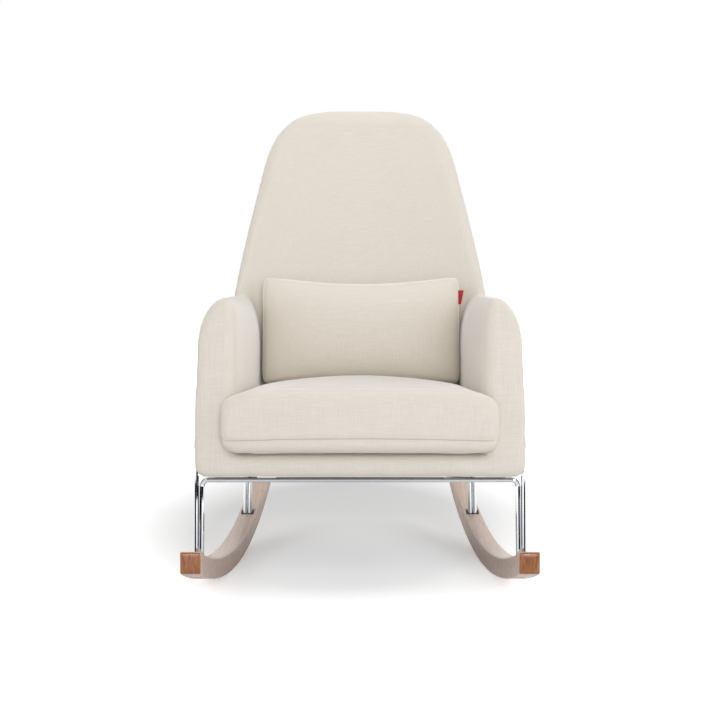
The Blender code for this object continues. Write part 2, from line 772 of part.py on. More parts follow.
def panel_tail_depth():
    """Depth of the rear end of a side panel, which laps the end of the rear rail."""
    return rear_frame_depth() - SEAT_RAIL_WIDTH * PANEL_TAIL_SHORT


def panel_mesh(name, grow=0.0, solid=False):
    """Side panel in its own plane: a rail with an arm frame over its front and a tail behind."""
    low = FRAME_BOTTOM - grow * 30
    tail = strap_low(panel_tail_depth()) - 2 * FIT + grow
    stretch = math.sqrt(1 + PANEL_TAPER**2)

    def along(depth):
        return (depth - PANEL_FRONT_DEPTH) * stretch

    front = -grow
    rear = along(panel_tail_depth()) + grow
    arm_rear = along(panel_rear_depth()) + grow
    top = PANEL_TOP + grow
    corner = PANEL_FRAME_WIDTH
    step = open_height() - PANEL_TAIL_DROP + grow
    outline = [(front, low), (rear, low), (rear, tail), (arm_rear + PANEL_GUSSET, step)]
    outline.append((arm_rear, step + PANEL_GUSSET))
    outline += arc((arm_rear - corner, top - corner), (corner, corner), 0, 90, 4)
    outline += arc((front + corner, top - corner), (corner, corner), 90, 180, 4)
    window = ()
    if not solid:
        inside_low = (corner, PANEL_WINDOW_LOW)
        inside_high = (arm_rear - corner, top - corner)
        window = (rounded_box(inside_low, inside_high, corner / 2, 4),)
    half = PANEL_THICKNESS / 2 + (FIT if solid else 0.0)
    return slab(name, outline, -half, half, window)


def panel_frame(side):
    """Frame of a side panel: X along it, Y up and Z across it."""
    turn = math.atan(PANEL_TAPER) * side
    stand = Matrix.Rotation(math.pi / 2, 4, "Z") @ Matrix.Rotation(math.pi / 2, 4, "X")
    place = Matrix.Translation((side * PANEL_FRONT_HALF, y_at(PANEL_FRONT_DEPTH), 0))
    return place @ Matrix.Rotation(turn, 4, "Z") @ stand


def seat_plan(grow):
    """Plan of the seat frame: out to the side panels, then back along the rear rail."""
    front = PANEL_FRONT_DEPTH - grow
    tail = panel_tail_depth() + PANEL_THICKNESS * PANEL_TAPER + grow
    rear = rear_frame_depth() + grow
    rail = panel_inner(rear_frame_depth() - SEAT_RAIL_WIDTH) + grow
    outer = PANEL_THICKNESS / 2 + grow
    half_plan = [(panel_half(depth) + outer, depth) for depth in (front, tail)]
    half_plan += [(rail, tail), (rail, rear)]
    outline = [(x, y_at(depth)) for x, depth in half_plan]
    outline += [(-x, y_at(depth)) for x, depth in reversed(half_plan)]
    return outline


def seat_void(name):
    """Space under the seat inside the padding."""
    return slab(name, seat_plan(SOFT_FIT), BODY_BOTTOM - BODY_EDGE, open_height())


def build_padding(shop):
    """Back, arms and front rail, hollow where the wooden frame stands."""
    void = shop.cutter("seat_void", seat_void("seat_void"))
    back = shop.piece("back_pad", back_mesh("back_pad"), "linen")
    shop.cut(back, void)
    shop.cut(back, shop.cutter("back_cavity", cavity_mesh("back_cavity")))
    trim_levels = (0.0, 0.1, 0.3, 0.5, 0.7, 0.85, 1.0, 1.15)
    heights = [BODY_BOTTOM - BODY_EDGE + (ARM_TOP - BODY_BOTTOM) * share for share in trim_levels]
    trim = loft("back_trim", [back_ring(height, grow=SOFT_FIT) for height in heights])
    trim = shop.cutter("back_trim", trim)
    for side_name, side in SIDES.items():
        name = "arm_pad_" + side_name
        arm = shop.piece(name, arm_mesh(name, side), "linen")
        shop.cut(arm, void)
        slot = panel_mesh("slot_" + side_name, grow=FIT, solid=True)
        shop.cut(arm, shop.cutter("slot_" + side_name, slot, panel_frame(side)))
        shop.cut(arm, trim)
    shop.piece("front_rail_pad", front_rail_mesh("front_rail_pad"), "linen")
    return back


def front_rail_mesh(name):
    """Padded bar between the arms, with its front edges round."""
    front = ARM_FRONT_DEPTH
    rear = FRONT_RAIL_PAD_DEPTH + front - SOFT_FIT
    profile = [(rear, BODY_BOTTOM), (rear, FRONT_RAIL_PAD_TOP)]
    edge = BODY_EDGE * 0.8
    profile += arc((front + edge, FRONT_RAIL_PAD_TOP - edge), (edge, edge), 90, 180, 3)
    profile += arc((front + edge, BODY_BOTTOM + edge), (edge, edge), 180, 270, 3)
    rings = []
    for share in (-1.0, -1 / 3, 1 / 3, 1.0):
        rings.append([(share * (arm_inner(depth) - SOFT_FIT), y_at(depth), z) for depth, z in profile])
    return loft(name, rings)


# Wooden frame and springing


def sawn(curve, height):
    """Value of a curve of the back's frame, which is sawn straight between its stations."""
    low = FRAME_BOTTOM + math.floor((height - FRAME_BOTTOM) / RIBBON_STEP) * RIBBON_STEP
    return blend(curve(low), curve(low + RIBBON_STEP), (height - low) / RIBBON_STEP)


def frame_heights(low, high):
    """Two heights and the stations of the back's frame between them."""
    first = math.floor((low - FRAME_BOTTOM) / RIBBON_STEP)
    last = math.ceil((high - FRAME_BOTTOM) / RIBBON_STEP)
    stations = [FRAME_BOTTOM + i * RIBBON_STEP for i in range(first, last + 1)]
    return [low, *[height for height in stations if low + FIT < height < high - FIT], high]


def ribbon(name, low, high, span):
    """Curved bar along the back's frame between two heights. span gives its sides at a height."""
    rings = []
    for height in frame_heights(low, high):
        front = sawn(frame_depth, height) - POST_DEPTH / 2
        rear = front + POST_DEPTH
        near, far = span(height)
        ring = [(near, front), (far, front), (far, rear), (near, rear)]
        rings.append([(x, y_at(depth), height) for x, depth in ring])
    return loft(name, rings)


def cavity_mesh(name):
    """Hollow of the back: room for the frame and, behind it, as far as a thin rear wall."""
    rings = []
    for height in frame_heights(open_height() - PANEL_TAIL_DROP, POST_TOP + SOFT_FIT):
        half = sawn(post_half, height) + SOFT_FIT
        front = sawn(frame_depth, height) - POST_DEPTH / 2 - BACK_CAVITY_ROOM
        ring = [(-half, front), (half, front)]
        for share in (1.0, 0.5, 0.0, -0.5, -1.0):
            ring.append((half * share, back_rear(half * share, height) - BACK_REAR_WALL))
        rings.append([(x, y_at(depth), height) for x, depth in ring])
    return loft(name, rings)


def rail_span(height):
    half = sawn(post_half, height) - POST_THICKNESS - FIT
    return (-half, half)


def post_mesh(name, side):
    def span(height):
        half = sawn(post_half, height)
        return (side * half, side * (half - POST_THICKNESS))

    return ribbon(name, FRAME_BOTTOM, POST_TOP, span)


def back_rail_levels():
    """Lower edges of the back's three rails."""
    return (BACK_RAIL_LOWER, BACK_RAIL_MIDDLE, POST_TOP - BACK_RAIL_HEIGHT)


def back_strap_levels():
    """Lower edges of the back's straps, spaced evenly between the rails."""
    levels = back_rail_levels()
    for below, above in zip(levels, levels[1:]):
        clear = above - below - BACK_RAIL_HEIGHT - BACK_STRAPS_PER_BAY * STRAP_WIDTH
        pitch = STRAP_WIDTH + clear / (BACK_STRAPS_PER_BAY + 1)
        for i in range(BACK_STRAPS_PER_BAY):
            yield below + BACK_RAIL_HEIGHT + pitch * (i + 1) - STRAP_WIDTH


def build_frame(shop):
    """Side panels, back posts, cross rails and corner blocks. Returns the two seat rails."""
    for side_name, side in SIDES.items():
        name = "side_panel_" + side_name
        shop.piece(name, panel_mesh(name), "plywood", panel_frame(side))
        name = "back_post_" + side_name
        shop.piece(name, post_mesh(name, side), "plywood", round_angle=20)
    for label, level in zip(("lower", "middle", "upper"), back_rail_levels()):
        name = "back_rail_" + label
        mesh = ribbon(name, level, level + BACK_RAIL_HEIGHT, rail_span)
        shop.piece(name, mesh, "plywood", round_angle=20)
    rails = {}
    front = PANEL_FRONT_DEPTH
    rear = rear_frame_depth()
    spans = {"front": (front, front + SEAT_RAIL_WIDTH), "rear": (rear - SEAT_RAIL_WIDTH, rear)}
    for end, (near, far) in spans.items():
        name = "seat_rail_" + end
        board = slab(name, plan_between_panels(near, far), FRAME_BOTTOM, strap_low(far) - FIT)
        rails[end] = shop.piece(name, board, "plywood")
    for side_name, side in SIDES.items():
        name = "corner_block_" + side_name
        shop.piece(name, corner_block(name, side), "plywood")
    return rails


def plan_between_panels(near, far):
    """Plan of a board that fills the width between the side panels."""
    corners = [(-1, near), (1, near), (1, far), (-1, far)]
    return [(side * panel_inner(depth), y_at(depth)) for side, depth in corners]


def corner_block(name, side):
    """Glue block behind the front rail, against a side panel."""
    near = PANEL_FRONT_DEPTH + SEAT_RAIL_WIDTH + FIT
    far = near + CORNER_BLOCK_LEG
    plan = [
        (side * panel_inner(near), y_at(near)),
        (side * panel_inner(far), y_at(far)),
        (side * (panel_inner(far) - 0.010), y_at(far)),
        (side * (panel_inner(near) - CORNER_BLOCK_LEG), y_at(near) + 0.010),
        (side * (panel_inner(near) - CORNER_BLOCK_LEG), y_at(near)),
    ]
    return slab(name, plan, FRAME_BOTTOM, FRAME_BOTTOM + CORNER_BLOCK_HEIGHT)


def seat_frame():
    """Frame on the deck at the front of the arms, pitched down towards the back."""
    place = Matrix.Translation((0, y_at(ARM_FRONT_DEPTH), SEAT_HEIGHT))
    return place @ Matrix.Rotation(-SEAT_PITCH, 4, "X")


def build_springing(shop):
    """Seat straps and deck in the pitched frame, back straps across the posts, dust cover below."""
    frame = seat_frame()
    front = PANEL_FRONT_DEPTH + SOFT_FIT - ARM_FRONT_DEPTH
    rear = rear_frame_depth() - ARM_FRONT_DEPTH
    top = -DECK_THICKNESS - FIT
    for i in range(SEAT_STRAPS):
        x = (i - (SEAT_STRAPS - 1) / 2) * SEAT_STRAP_PITCH
        half = STRAP_WIDTH / 2
        plan = [(x - half, front), (x + half, front), (x + half, rear), (x - half, rear)]
        name = "seat_strap_%d" % (i + 1)
        shop.piece(name, slab(name, plan, top - STRAP_THICKNESS, top), "webbing", frame)
    shop.piece("seat_deck", slab("seat_deck", deck_plan(front), -DECK_THICKNESS, 0.0), "linen", frame)
    for i, height in enumerate(back_strap_levels()):
        name = "back_strap_%d" % (i + 1)
        shop.piece(name, back_strap(name, height), "webbing")
    high = FRAME_BOTTOM - FIT
    cover = slab("dust_cover", seat_plan(0.0), high - DUST_COVER_THICKNESS, high)
    return shop.piece("dust_cover", cover, "cambric")


def deck_plan(front):
    """Plan of the deck between the arms, its rear edge bowed to the back."""
    gap = SOFT_FIT * 2
    level = SEAT_HEIGHT
    front_half = arm_inner(front + ARM_FRONT_DEPTH) - gap
    points = [(-front_half, front), (front_half, front)]
    corner = back_front(arm_inner(BACK_FRONT_DEPTH), level) - 0.004
    half = arm_inner(corner) - gap
    steps = 6
    for i in range(steps + 1):
        x = half * (1 - 2 * i / steps)
        points.append((x, back_front(x, level) - 0.004 - ARM_FRONT_DEPTH))
    return points


def back_strap(name, height):
    """Webbing across the front faces of the back posts."""
    rings = []
    half = sawn(post_half, height + STRAP_WIDTH) - FIT
    for level in frame_heights(height, height + STRAP_WIDTH):
        rear = sawn(frame_depth, level) - POST_DEPTH / 2 - 2 * FIT
        front = rear - STRAP_THICKNESS
        ring = [(-half, front), (half, front), (half, rear), (-half, rear)]
        rings.append([(x, y_at(depth), level) for x, depth in ring])
    return loft(name, rings)


# Loose cushion and pillow


def cushion_section(depth, half, inset=0.0):
    """Upright outline across the cushion in the seat's frame: crowned top and round edges."""
    along = blend(CUSHION_CROWN_FRONT, 1.0, smooth(depth / CUSHION_CROWN_RUN))
    along *= blend(1.0, CUSHION_CROWN_REAR, smooth(depth / CUSHION_CROWN_RUN - 1.4))
    low = FIT * 2 + inset * 0.55
    side_top = CUSHION_SIDE_HEIGHT - inset * 0.75
    crown = CUSHION_CROWN * along
    corner = min(CUSHION_CORNER, (side_top - low) * 0.4)
    half = half - inset * 0.55
    flat = half - corner
    points = [(0.0, low), (flat * 0.6, low)]
    points += arc((flat, low + corner * 0.7), (corner, corner * 0.7), -90, 0, 3)
    points += arc((flat, side_top - corner), (corner, corner), 0, 70, 3)
    for share in (0.82, 0.6, 0.35, 0.0):
        points.append((flat * share, side_top + crown * (1 - share**2.4)))
    mirrored = [(-x, z) for x, z in reversed(points[1:-1])]
    return points + mirrored


def cushion_mesh(name):
    """Cushion lofted front to back, swelling sideways where it passes the fronts of the arms."""
    neck = ARM_FRONT_DEPTH
    ear_end = neck - SOFT_FIT - math.sin(SEAT_PITCH) * (CUSHION_SIDE_HEIGHT + CUSHION_CROWN)
    rear = back_front(arm_inner(BACK_FRONT_DEPTH), SEAT_HEIGHT) - CUSHION_REAR_GAP
    bow = back_front(0, SEAT_HEIGHT) - CUSHION_REAR_GAP - rear
    nose = CUSHION_FRONT_ROUND
    front = CUSHION_FRONT_DEPTH
    stations = []
    for share, inset in ((0.0, 1.0), (0.06, 0.62), (0.22, 0.28), (0.5, 0.08), (0.8, 0.0)):
        stations.append((front + nose * share, CUSHION_EAR_HALF, nose * inset))
    stations.append((ear_end, CUSHION_EAR_HALF, nose * 0.12))

    def side_half(depth):
        return arm_inner(depth) - CUSHION_SIDE_GAP

    stations.append((neck, side_half(neck), nose * 0.05))
    for share in (0.12, 0.3, 0.5, 0.7, 0.85):
        depth = neck + (rear - neck) * share
        stations.append((depth, side_half(depth), 0.0))
    for back_off, inset in ((0.6, 0.06), (0.2, 0.3), (0.0, 0.75)):
        depth = rear - nose * back_off
        stations.append((depth, side_half(depth), nose * inset))
    rings = []
    for depth, half, inset in stations:
        ring = []
        for x, z in cushion_section(depth, half, inset):
            bend = smooth((depth - neck) / (rear - neck))
            y = depth - neck + bow * bend * max(0.0, 1 - (x / side_half(depth)) ** 2)
            ring.append((x, y, z))
        rings.append(ring)
    return loft(name, rings)


def pillow_mesh(name):
    """Pillow lofted from side to side: a lens in section, with edges that sag between corners."""
    rings = []
    ring_points = 18
    half_shares = (0.15, 0.42, 0.65, 0.82, 0.93, 0.985, 1.0)
    for share in (*[-share for share in reversed(half_shares)], *half_shares):
        full = (1 - abs(share) ** 2.6) ** 0.55
        thick = PILLOW_SEAM + (PILLOW_THICKNESS - PILLOW_SEAM) * full
        tall = PILLOW_HEIGHT - 2 * PILLOW_SAG * (1 - share * share)
        tall -= 0.028 * max(0.0, abs(share) - 0.97) / 0.03
        ring = []
        for i in range(ring_points):
            angle = 2 * math.pi * i / ring_points
            across = math.cos(angle)
            up = math.sin(angle)
            y = thick / 2 * math.copysign(abs(across) ** 1.15, across)
            z = tall / 2 * math.copysign(abs(up) ** 0.8, up)
            ring.append((share * PILLOW_WIDTH / 2, y, z))
        rings.append(ring)
    return loft(name, rings)


def surface_of(obj):
    """Search tree of a piece as it stands, with its cuts made."""
    bpy.context.view_layer.update()
    graph = bpy.context.evaluated_depsgraph_get()
    evaluated = obj.evaluated_get(graph)
    bm = bmesh.new()
    bm.from_mesh(evaluated.to_mesh())
    bm.transform(obj.matrix_world)
    tree = BVHTree.FromBMesh(bm)
    bmesh.ops.subdivide_edges(bm, edges=bm.edges, cuts=3, use_grid_fill=True)
    points = [vert.co.copy() for vert in bm.verts]
    bm.free()
    evaluated.to_mesh_clear()
    return tree, points


def room_towards(obj, other, direction, reach=0.5):
    """Least distance that a piece can travel in a direction before it meets another."""
    direction = Vector(direction).normalized()
    tree, points = surface_of(obj)
    other_tree, other_points = surface_of(other)
    found = [other_tree.ray_cast(point, direction, reach)[3] for point in points]
    found += [tree.ray_cast(point, -direction, reach)[3] for point in other_points]
    return min(distance for distance in found if distance is not None)


def seat_against(obj, other, direction):
    """Move a piece in a direction until it lies on another."""
    travel = max(room_towards(obj, other, direction) - SOFT_FIT, 0.0)
    obj.matrix_world = Matrix.Translation(Vector(direction).normalized() * travel) @ obj.matrix_world


def build_soft_goods(shop, back):
    """Loose cushion on the deck, and the pillow seated on the cushion and against the back."""
    cushion = shop.piece("seat_cushion", cushion_mesh("seat_cushion"), "linen", seat_frame())
    start_depth = back_front(PILLOW_WIDTH / 2, SEAT_HEIGHT) - PILLOW_THICKNESS
    start_height = SEAT_HEIGHT + CUSHION_SIDE_HEIGHT + CUSHION_CROWN + PILLOW_HEIGHT
    start = Matrix.Translation((0, y_at(start_depth), start_height))
    tilt = Matrix.Rotation(-PILLOW_TILT, 4, "X")
    pillow = shop.piece("lumbar_pillow", pillow_mesh("lumbar_pillow"), "linen", start @ tilt)
    for _ in range(2):
        pillow.matrix_world = Matrix.Translation((0, -PILLOW_BACKOFF, 0)) @ pillow.matrix_world
        seat_against(pillow, cushion, (0, 0, -1))
        seat_against(pillow, back, (0, 1, 0))
    tape = block("pillow_tape_tab", TAPE_WIDTH, TAPE_THICKNESS, 0.0, TAPE_HEIGHT, edge=0.0004)
    place = Matrix.Translation((PILLOW_WIDTH / 2 + FIT + TAPE_WIDTH / 2, 0, TAPE_RISE))
    shop.piece("pillow_tape_tab", tape, "tape", pillow.matrix_world @ place)


def main():
    clear_scene()
    shop = Workshop()
    build_rockers(shop)
    build_rods(shop)
    back = build_padding(shop)
    rails = build_frame(shop)
    dust_cover = build_springing(shop)
    build_tabs(shop, rails, dust_cover)
    build_soft_goods(shop, back)


main()
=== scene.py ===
"""Dressed model of an upholstered rocking chair, set in a plain studio.

Metres, +Z up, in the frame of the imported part. The chair faces -Y, and depths are measured
back from the front ends of the rockers.
"""

import logging
import math
from dataclasses import dataclass, field
from enum import Enum
from typing import Iterable, Optional, Sequence, Union

import bmesh
import bpy
import numpy as np
from mathutils import Matrix, Vector, noise
from mathutils.bvhtree import BVHTree


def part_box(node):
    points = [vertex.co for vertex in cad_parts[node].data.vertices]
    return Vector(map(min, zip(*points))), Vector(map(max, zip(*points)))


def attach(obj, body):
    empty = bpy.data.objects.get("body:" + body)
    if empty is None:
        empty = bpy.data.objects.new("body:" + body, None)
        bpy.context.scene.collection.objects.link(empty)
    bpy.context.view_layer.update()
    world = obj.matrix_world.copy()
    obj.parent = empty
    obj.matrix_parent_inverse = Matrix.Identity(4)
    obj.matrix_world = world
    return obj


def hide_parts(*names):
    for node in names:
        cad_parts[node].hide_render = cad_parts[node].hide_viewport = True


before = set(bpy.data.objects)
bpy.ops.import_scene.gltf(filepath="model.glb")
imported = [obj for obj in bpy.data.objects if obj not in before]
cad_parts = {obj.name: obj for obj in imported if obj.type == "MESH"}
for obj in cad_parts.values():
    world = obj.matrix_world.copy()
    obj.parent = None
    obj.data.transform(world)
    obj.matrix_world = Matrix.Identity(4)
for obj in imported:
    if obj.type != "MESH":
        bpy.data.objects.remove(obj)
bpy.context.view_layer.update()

LOG = logging.getLogger("rocking_chair")
Point = Sequence[float]
Path = list[Vector]
Outline = list[tuple[float, float]]
Swell = tuple[Point, Point]
Rays = list[tuple[Vector, Vector]]

PER_METRE = 1000  # repeats to the metre of a pattern with a repeat of 1 mm
WAVE_SCALE = 314.16  # scale of a wave texture whose bands are 1 mm apart
CLOTH_FRAMES = 20
WHITE = "#FFFFFF"


class Side(Enum):
    """The two sides of the chair, with the sign of their X."""

    LEFT = -1
    RIGHT = 1


class Body(Enum):
    """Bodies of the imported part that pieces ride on."""

    CHAIR = "chair"
    CUSHION = "seat_cushion"
    PILLOW = "lumbar_pillow"


class Slot(Enum):
    """Material slots of the part's record."""

    LINEN = "linen"
    WALNUT = "walnut"
    CAMBRIC = "cambric"
    TAPE = "tape"


# Colours, nodes and meshes


def srgb(code: str) -> tuple[float, float, float, float]:
    """Turn a hex colour into linear values.

    Args:
        code: Colour as "#RRGGBB".

    Returns:
        Linear red, green, blue and an alpha of 1.
    """
    parts = [int(code[i : i + 2], 16) / 255 for i in (1, 3, 5)]
    linear = [p / 12.92 if p <= 0.04045 else ((p + 0.055) / 1.055) ** 2.4 for p in parts]
    return (*linear, 1.0)


def set_up(
    tree: bpy.types.NodeTree,
    node: bpy.types.Node,
    settings: Optional[dict] = None,
    links: Optional[dict] = None,
) -> None:
    """Give a shader node its settings and links.

    Args:
        tree: Node tree that holds the node.
        node: Node that is set up.
        settings: Values by attribute name, or by the name or index of an input.
        links: Output sockets by the name or index of the input that they feed.
    """
    for key, value in (settings or {}).items():
        if isinstance(key, str) and hasattr(node, key):
            setattr(node, key, value)
        else:
            node.inputs[key].default_value = value
    for key, socket in (links or {}).items():
        tree.links.new(socket, node.inputs[key])


def add_node(
    tree: bpy.types.NodeTree,
    kind: str,
    settings: Optional[dict] = None,
    links: Optional[dict] = None,
) -> bpy.types.Node:
    """Add a shader node with its settings and links.

    Args:
        tree: Node tree that takes the node.
        kind: Node type without its "ShaderNode" prefix.
        settings: Values by attribute name, or by the name or index of an input.
        links: Output sockets by the name or index of the input that they feed.

    Returns:
        The new node.
    """
    node = tree.nodes.new("ShaderNode" + kind)
    set_up(tree, node, settings, links)
    return node


def new_material(name: str) -> tuple[bpy.types.Material, bpy.types.NodeTree, bpy.types.Node]:
    """Make a node material.

    Args:
        name: Name of the material.

    Returns:
        The material, its node tree and its Principled shader.
    """
    material = bpy.data.materials.new(name)
    material.use_nodes = True
    tree = material.node_tree
    return material, tree, tree.nodes["Principled BSDF"]


def placed(name: str, data: bpy.types.ID) -> bpy.types.Object:
    """Put a new object into the scene.

    Args:
        name: Name of the object.
        data: Its mesh, curve, lamp or camera.

    Returns:
        The new object.
    """
    obj = bpy.data.objects.new(name, data)
    bpy.context.scene.collection.objects.link(obj)
    return obj


def new_object(name: str, points: Iterable[Point], faces: Iterable[Sequence[int]]) -> bpy.types.Object:
    """Make a smooth-shaded mesh object in the scene.

    Args:
        name: Name of the object and its mesh.
        points: Vertices in the part's frame.
        faces: Vertex indices of each face.

    Returns:
        The new object.
    """
    mesh = bpy.data.meshes.new(name)
    mesh.from_pydata([tuple(p) for p in points], [], [tuple(f) for f in faces])
    mesh.validate()
    mesh.shade_smooth()
    return placed(name, mesh)


def lofted(name: str, rings: Sequence[Sequence[Point]]) -> bpy.types.Object:
    """Skin a row of rings and close its ends.

    Args:
        name: Name of the object.
        rings: Rings of equally many points.

    Returns:
        The closed object.
    """
    count = len(rings[0])
    points = [p for ring in rings for p in ring]
    faces = []
    for k in range(len(rings) - 1):
        for i in range(count):
            j = (i + 1) % count
            faces.append((k * count + i, k * count + j, (k + 1) * count + j, (k + 1) * count + i))
    faces.append(tuple(reversed(range(count))))
    faces.append(tuple(range((len(rings) - 1) * count, len(rings) * count)))
    return new_object(name, points, faces)


def arc(centre: Point, radii: Point, start: float, end: float, steps: int) -> Outline:
    """Points of an elliptic arc in a plane.

    Args:
        centre: Centre of the ellipse.
        radii: Its two radii.
        start: First angle in degrees.
        end: Last angle in degrees.
        steps: Number of chords.

    Returns:
        Points from start to end.
    """
    angles = [math.radians(start + (end - start) * i / steps) for i in range(steps + 1)]
    return [(centre[0] + radii[0] * math.cos(a), centre[1] + radii[1] * math.sin(a)) for a in angles]


def mix(low: float, high: float, share: float) -> float:
    """Value between two others, held at the ends."""
    return low + (high - low) * min(max(share, 0.0), 1.0)


def ease(share: float) -> float:
    """Ease in and out between 0 and 1."""
    share = min(max(share, 0.0), 1.0)
    return share * share * (3 - 2 * share)


def spaced(low: float, high: float, steps: int) -> list[float]:
    """Values in equal steps from low to high."""
    return [mix(low, high, i / steps) for i in range(steps + 1)]


def quarter_turn(steps: int) -> list[float]:
    """Angles of a quarter turn in equal steps."""
    return [math.pi / 2 * i / steps for i in range(steps + 1)]


def with_mirror(half: Outline) -> Outline:
    """Half an outline, from one point on the middle line to the next, and its mirror image."""
    return half + [(-x, y) for x, y in reversed(half[1:-1])]


def grid_faces(columns: int, rows: int) -> list[tuple[int, int, int, int]]:
    """Quads of a grid whose points are listed row by row."""
    starts = [j * (columns + 1) + i for j in range(rows) for i in range(columns)]
    return [(a, a + 1, a + columns + 2, a + columns + 1) for a in starts]


def coords(obj: bpy.types.Object) -> np.ndarray:
    """Read the vertices of an object's mesh.

    Args:
        obj: Object to read.

    Returns:
        One row for each vertex.
    """
    flat = np.empty(len(obj.data.vertices) * 3)
    obj.data.vertices.foreach_get("co", flat)
    return flat.reshape(-1, 3)


def set_coords(obj: bpy.types.Object, points: np.ndarray) -> None:
    """Put rows of points back into an object's mesh."""
    obj.data.vertices.foreach_set("co", points.ravel())
    obj.data.update()


def normals(obj: bpy.types.Object) -> np.ndarray:
    """Read the vertex normals of an object's mesh.

    Args:
        obj: Object to read.

    Returns:
        One row for each vertex.
    """
    flat = np.empty(len(obj.data.vertices) * 3)
    obj.data.vertex_normals.foreach_get("vector", flat)
    return flat.reshape(-1, 3)


def apply_modifiers(obj: bpy.types.Object) -> None:
    """Put an object's modifiers into its mesh.

    Args:
        obj: Object whose modifiers are used up.
    """
    bpy.context.view_layer.update()
    graph = bpy.context.evaluated_depsgraph_get()
    mesh = bpy.data.meshes.new_from_object(obj.evaluated_get(graph))
    obj.modifiers.clear()
    old = obj.data
    mesh.name = obj.name
    obj.data = mesh
    bpy.data.meshes.remove(old)
    obj.data.shade_smooth()


def remeshed(obj: bpy.types.Object, voxel: float) -> None:
    """Give an object an even skin of small quads that joins all its overlapping shells.

    Args:
        obj: Object that takes the skin.
        voxel: Size of the quads.
    """
    modifier = obj.modifiers.new("even skin", "REMESH")
    modifier.mode = "VOXEL"
    modifier.voxel_size = voxel
    modifier.use_smooth_shade = True
    apply_modifiers(obj)


def subdivide(obj: bpy.types.Object) -> None:
    """Round a mesh off with one level of subdivision.

    Args:
        obj: Object that is rounded off.
    """
    modifier = obj.modifiers.new("finer skin", "SUBSURF")
    modifier.levels = 1
    modifier.render_levels = 1
    apply_modifiers(obj)


def relax(obj: bpy.types.Object, steps: int, factor: float = 0.5, swell: float = 0.0) -> None:
    """Smooth a mesh by moving its points towards the mean of their neighbours.

    Args:
        obj: Object whose mesh is smoothed.
        steps: Number of passes.
        factor: Share of the way that a point moves in one pass.
        swell: Share of the way that it moves back, which keeps the mesh from shrinking.
    """
    edges = np.empty(len(obj.data.edges) * 2, dtype=np.int64)
    obj.data.edges.foreach_get("vertices", edges)
    first, second = edges.reshape(-1, 2).T
    points = coords(obj)
    degree = np.bincount(first, minlength=len(points)) + np.bincount(second, minlength=len(points))
    degree = np.maximum(degree, 1)[:, None]
    for _ in range(steps):
        for share in (factor, -swell):
            if share:
                total = np.zeros_like(points)
                np.add.at(total, first, points[second])
                np.add.at(total, second, points[first])
                points += share * (total / degree - points)
    set_coords(obj, points)


def joined(objects: Sequence[bpy.types.Object], name: str) -> bpy.types.Object:
    """Join several mesh objects that stand at the origin into one.

    Args:
        objects: Objects to join, which are removed.
        name: Name of the joint object.

    Returns:
        One object with all their shells.
    """
    points: list[Point] = []
    faces: list[tuple[int, ...]] = []
    for obj in objects:
        start = len(points)
        points += [tuple(v.co) for v in obj.data.vertices]
        faces += [tuple(start + i for i in p.vertices) for p in obj.data.polygons]
        bpy.data.objects.remove(obj, do_unlink=True)
    return new_object(name, points, faces)


def search_tree(obj: bpy.types.Object) -> BVHTree:
    """Search tree of an object's mesh, in the part's frame."""
    points = [obj.matrix_world @ v.co for v in obj.data.vertices]
    return BVHTree.FromPolygons(points, [tuple(p.vertices) for p in obj.data.polygons])


def keep_within(obj: bpy.types.Object, guide: BVHTree, proud: float) -> None:
    """Pull points that have swollen too far back towards a guide surface.

    Args:
        obj: Object whose points are held back.
        guide: Search tree of the guide, with its faces outwards.
        proud: How far a point may stand outside the guide.
    """
    points = coords(obj)
    for i, co in enumerate(points):
        place, normal, _, _ = guide.find_nearest(Vector(co))
        out = (Vector(co) - place).dot(normal)
        if out > proud:
            points[i] = place + normal * proud
    set_coords(obj, points)


def inflate(
    obj: bpy.types.Object,
    pressure: float,
    cap: float,
    share: float,
    pinned: Sequence[int] = (),
) -> None:
    """Swell a closed cloth shell by air pressure and keep the result.

    Args:
        obj: Object that is swollen.
        pressure: Pressure inside it.
        cap: Most that a point may move.
        share: Share of that movement that is kept, where the filling holds the rest.
        pinned: Vertices that stay where they are.
    """
    start = coords(obj)
    group = obj.vertex_groups.new(name="sewn")
    group.add(list(pinned), 1.0, "REPLACE")
    modifier = obj.modifiers.new("cloth", "CLOTH")
    settings = modifier.settings
    settings.quality = 5
    settings.mass = 0.3
    settings.tension_stiffness = 18
    settings.compression_stiffness = 18
    settings.shear_stiffness = 6
    settings.bending_stiffness = 0.8
    settings.air_damping = 2
    settings.use_pressure = True
    settings.uniform_pressure_force = pressure
    settings.effector_weights.gravity = 0
    settings.vertex_group_mass = group.name if pinned else ""
    modifier.point_cache.frame_start = 1
    modifier.point_cache.frame_end = CLOTH_FRAMES
    scene = bpy.context.scene
    for number in range(1, CLOTH_FRAMES + 1):
        scene.frame_set(number)
    apply_modifiers(obj)
    scene.frame_set(1)
    moved = coords(obj) - start
    length = np.linalg.norm(moved, axis=1)
    hold = np.minimum(1.0, cap / np.maximum(length, 1e-9)) * share
    set_coords(obj, start + moved * hold[:, None])
    obj.vertex_groups.clear()


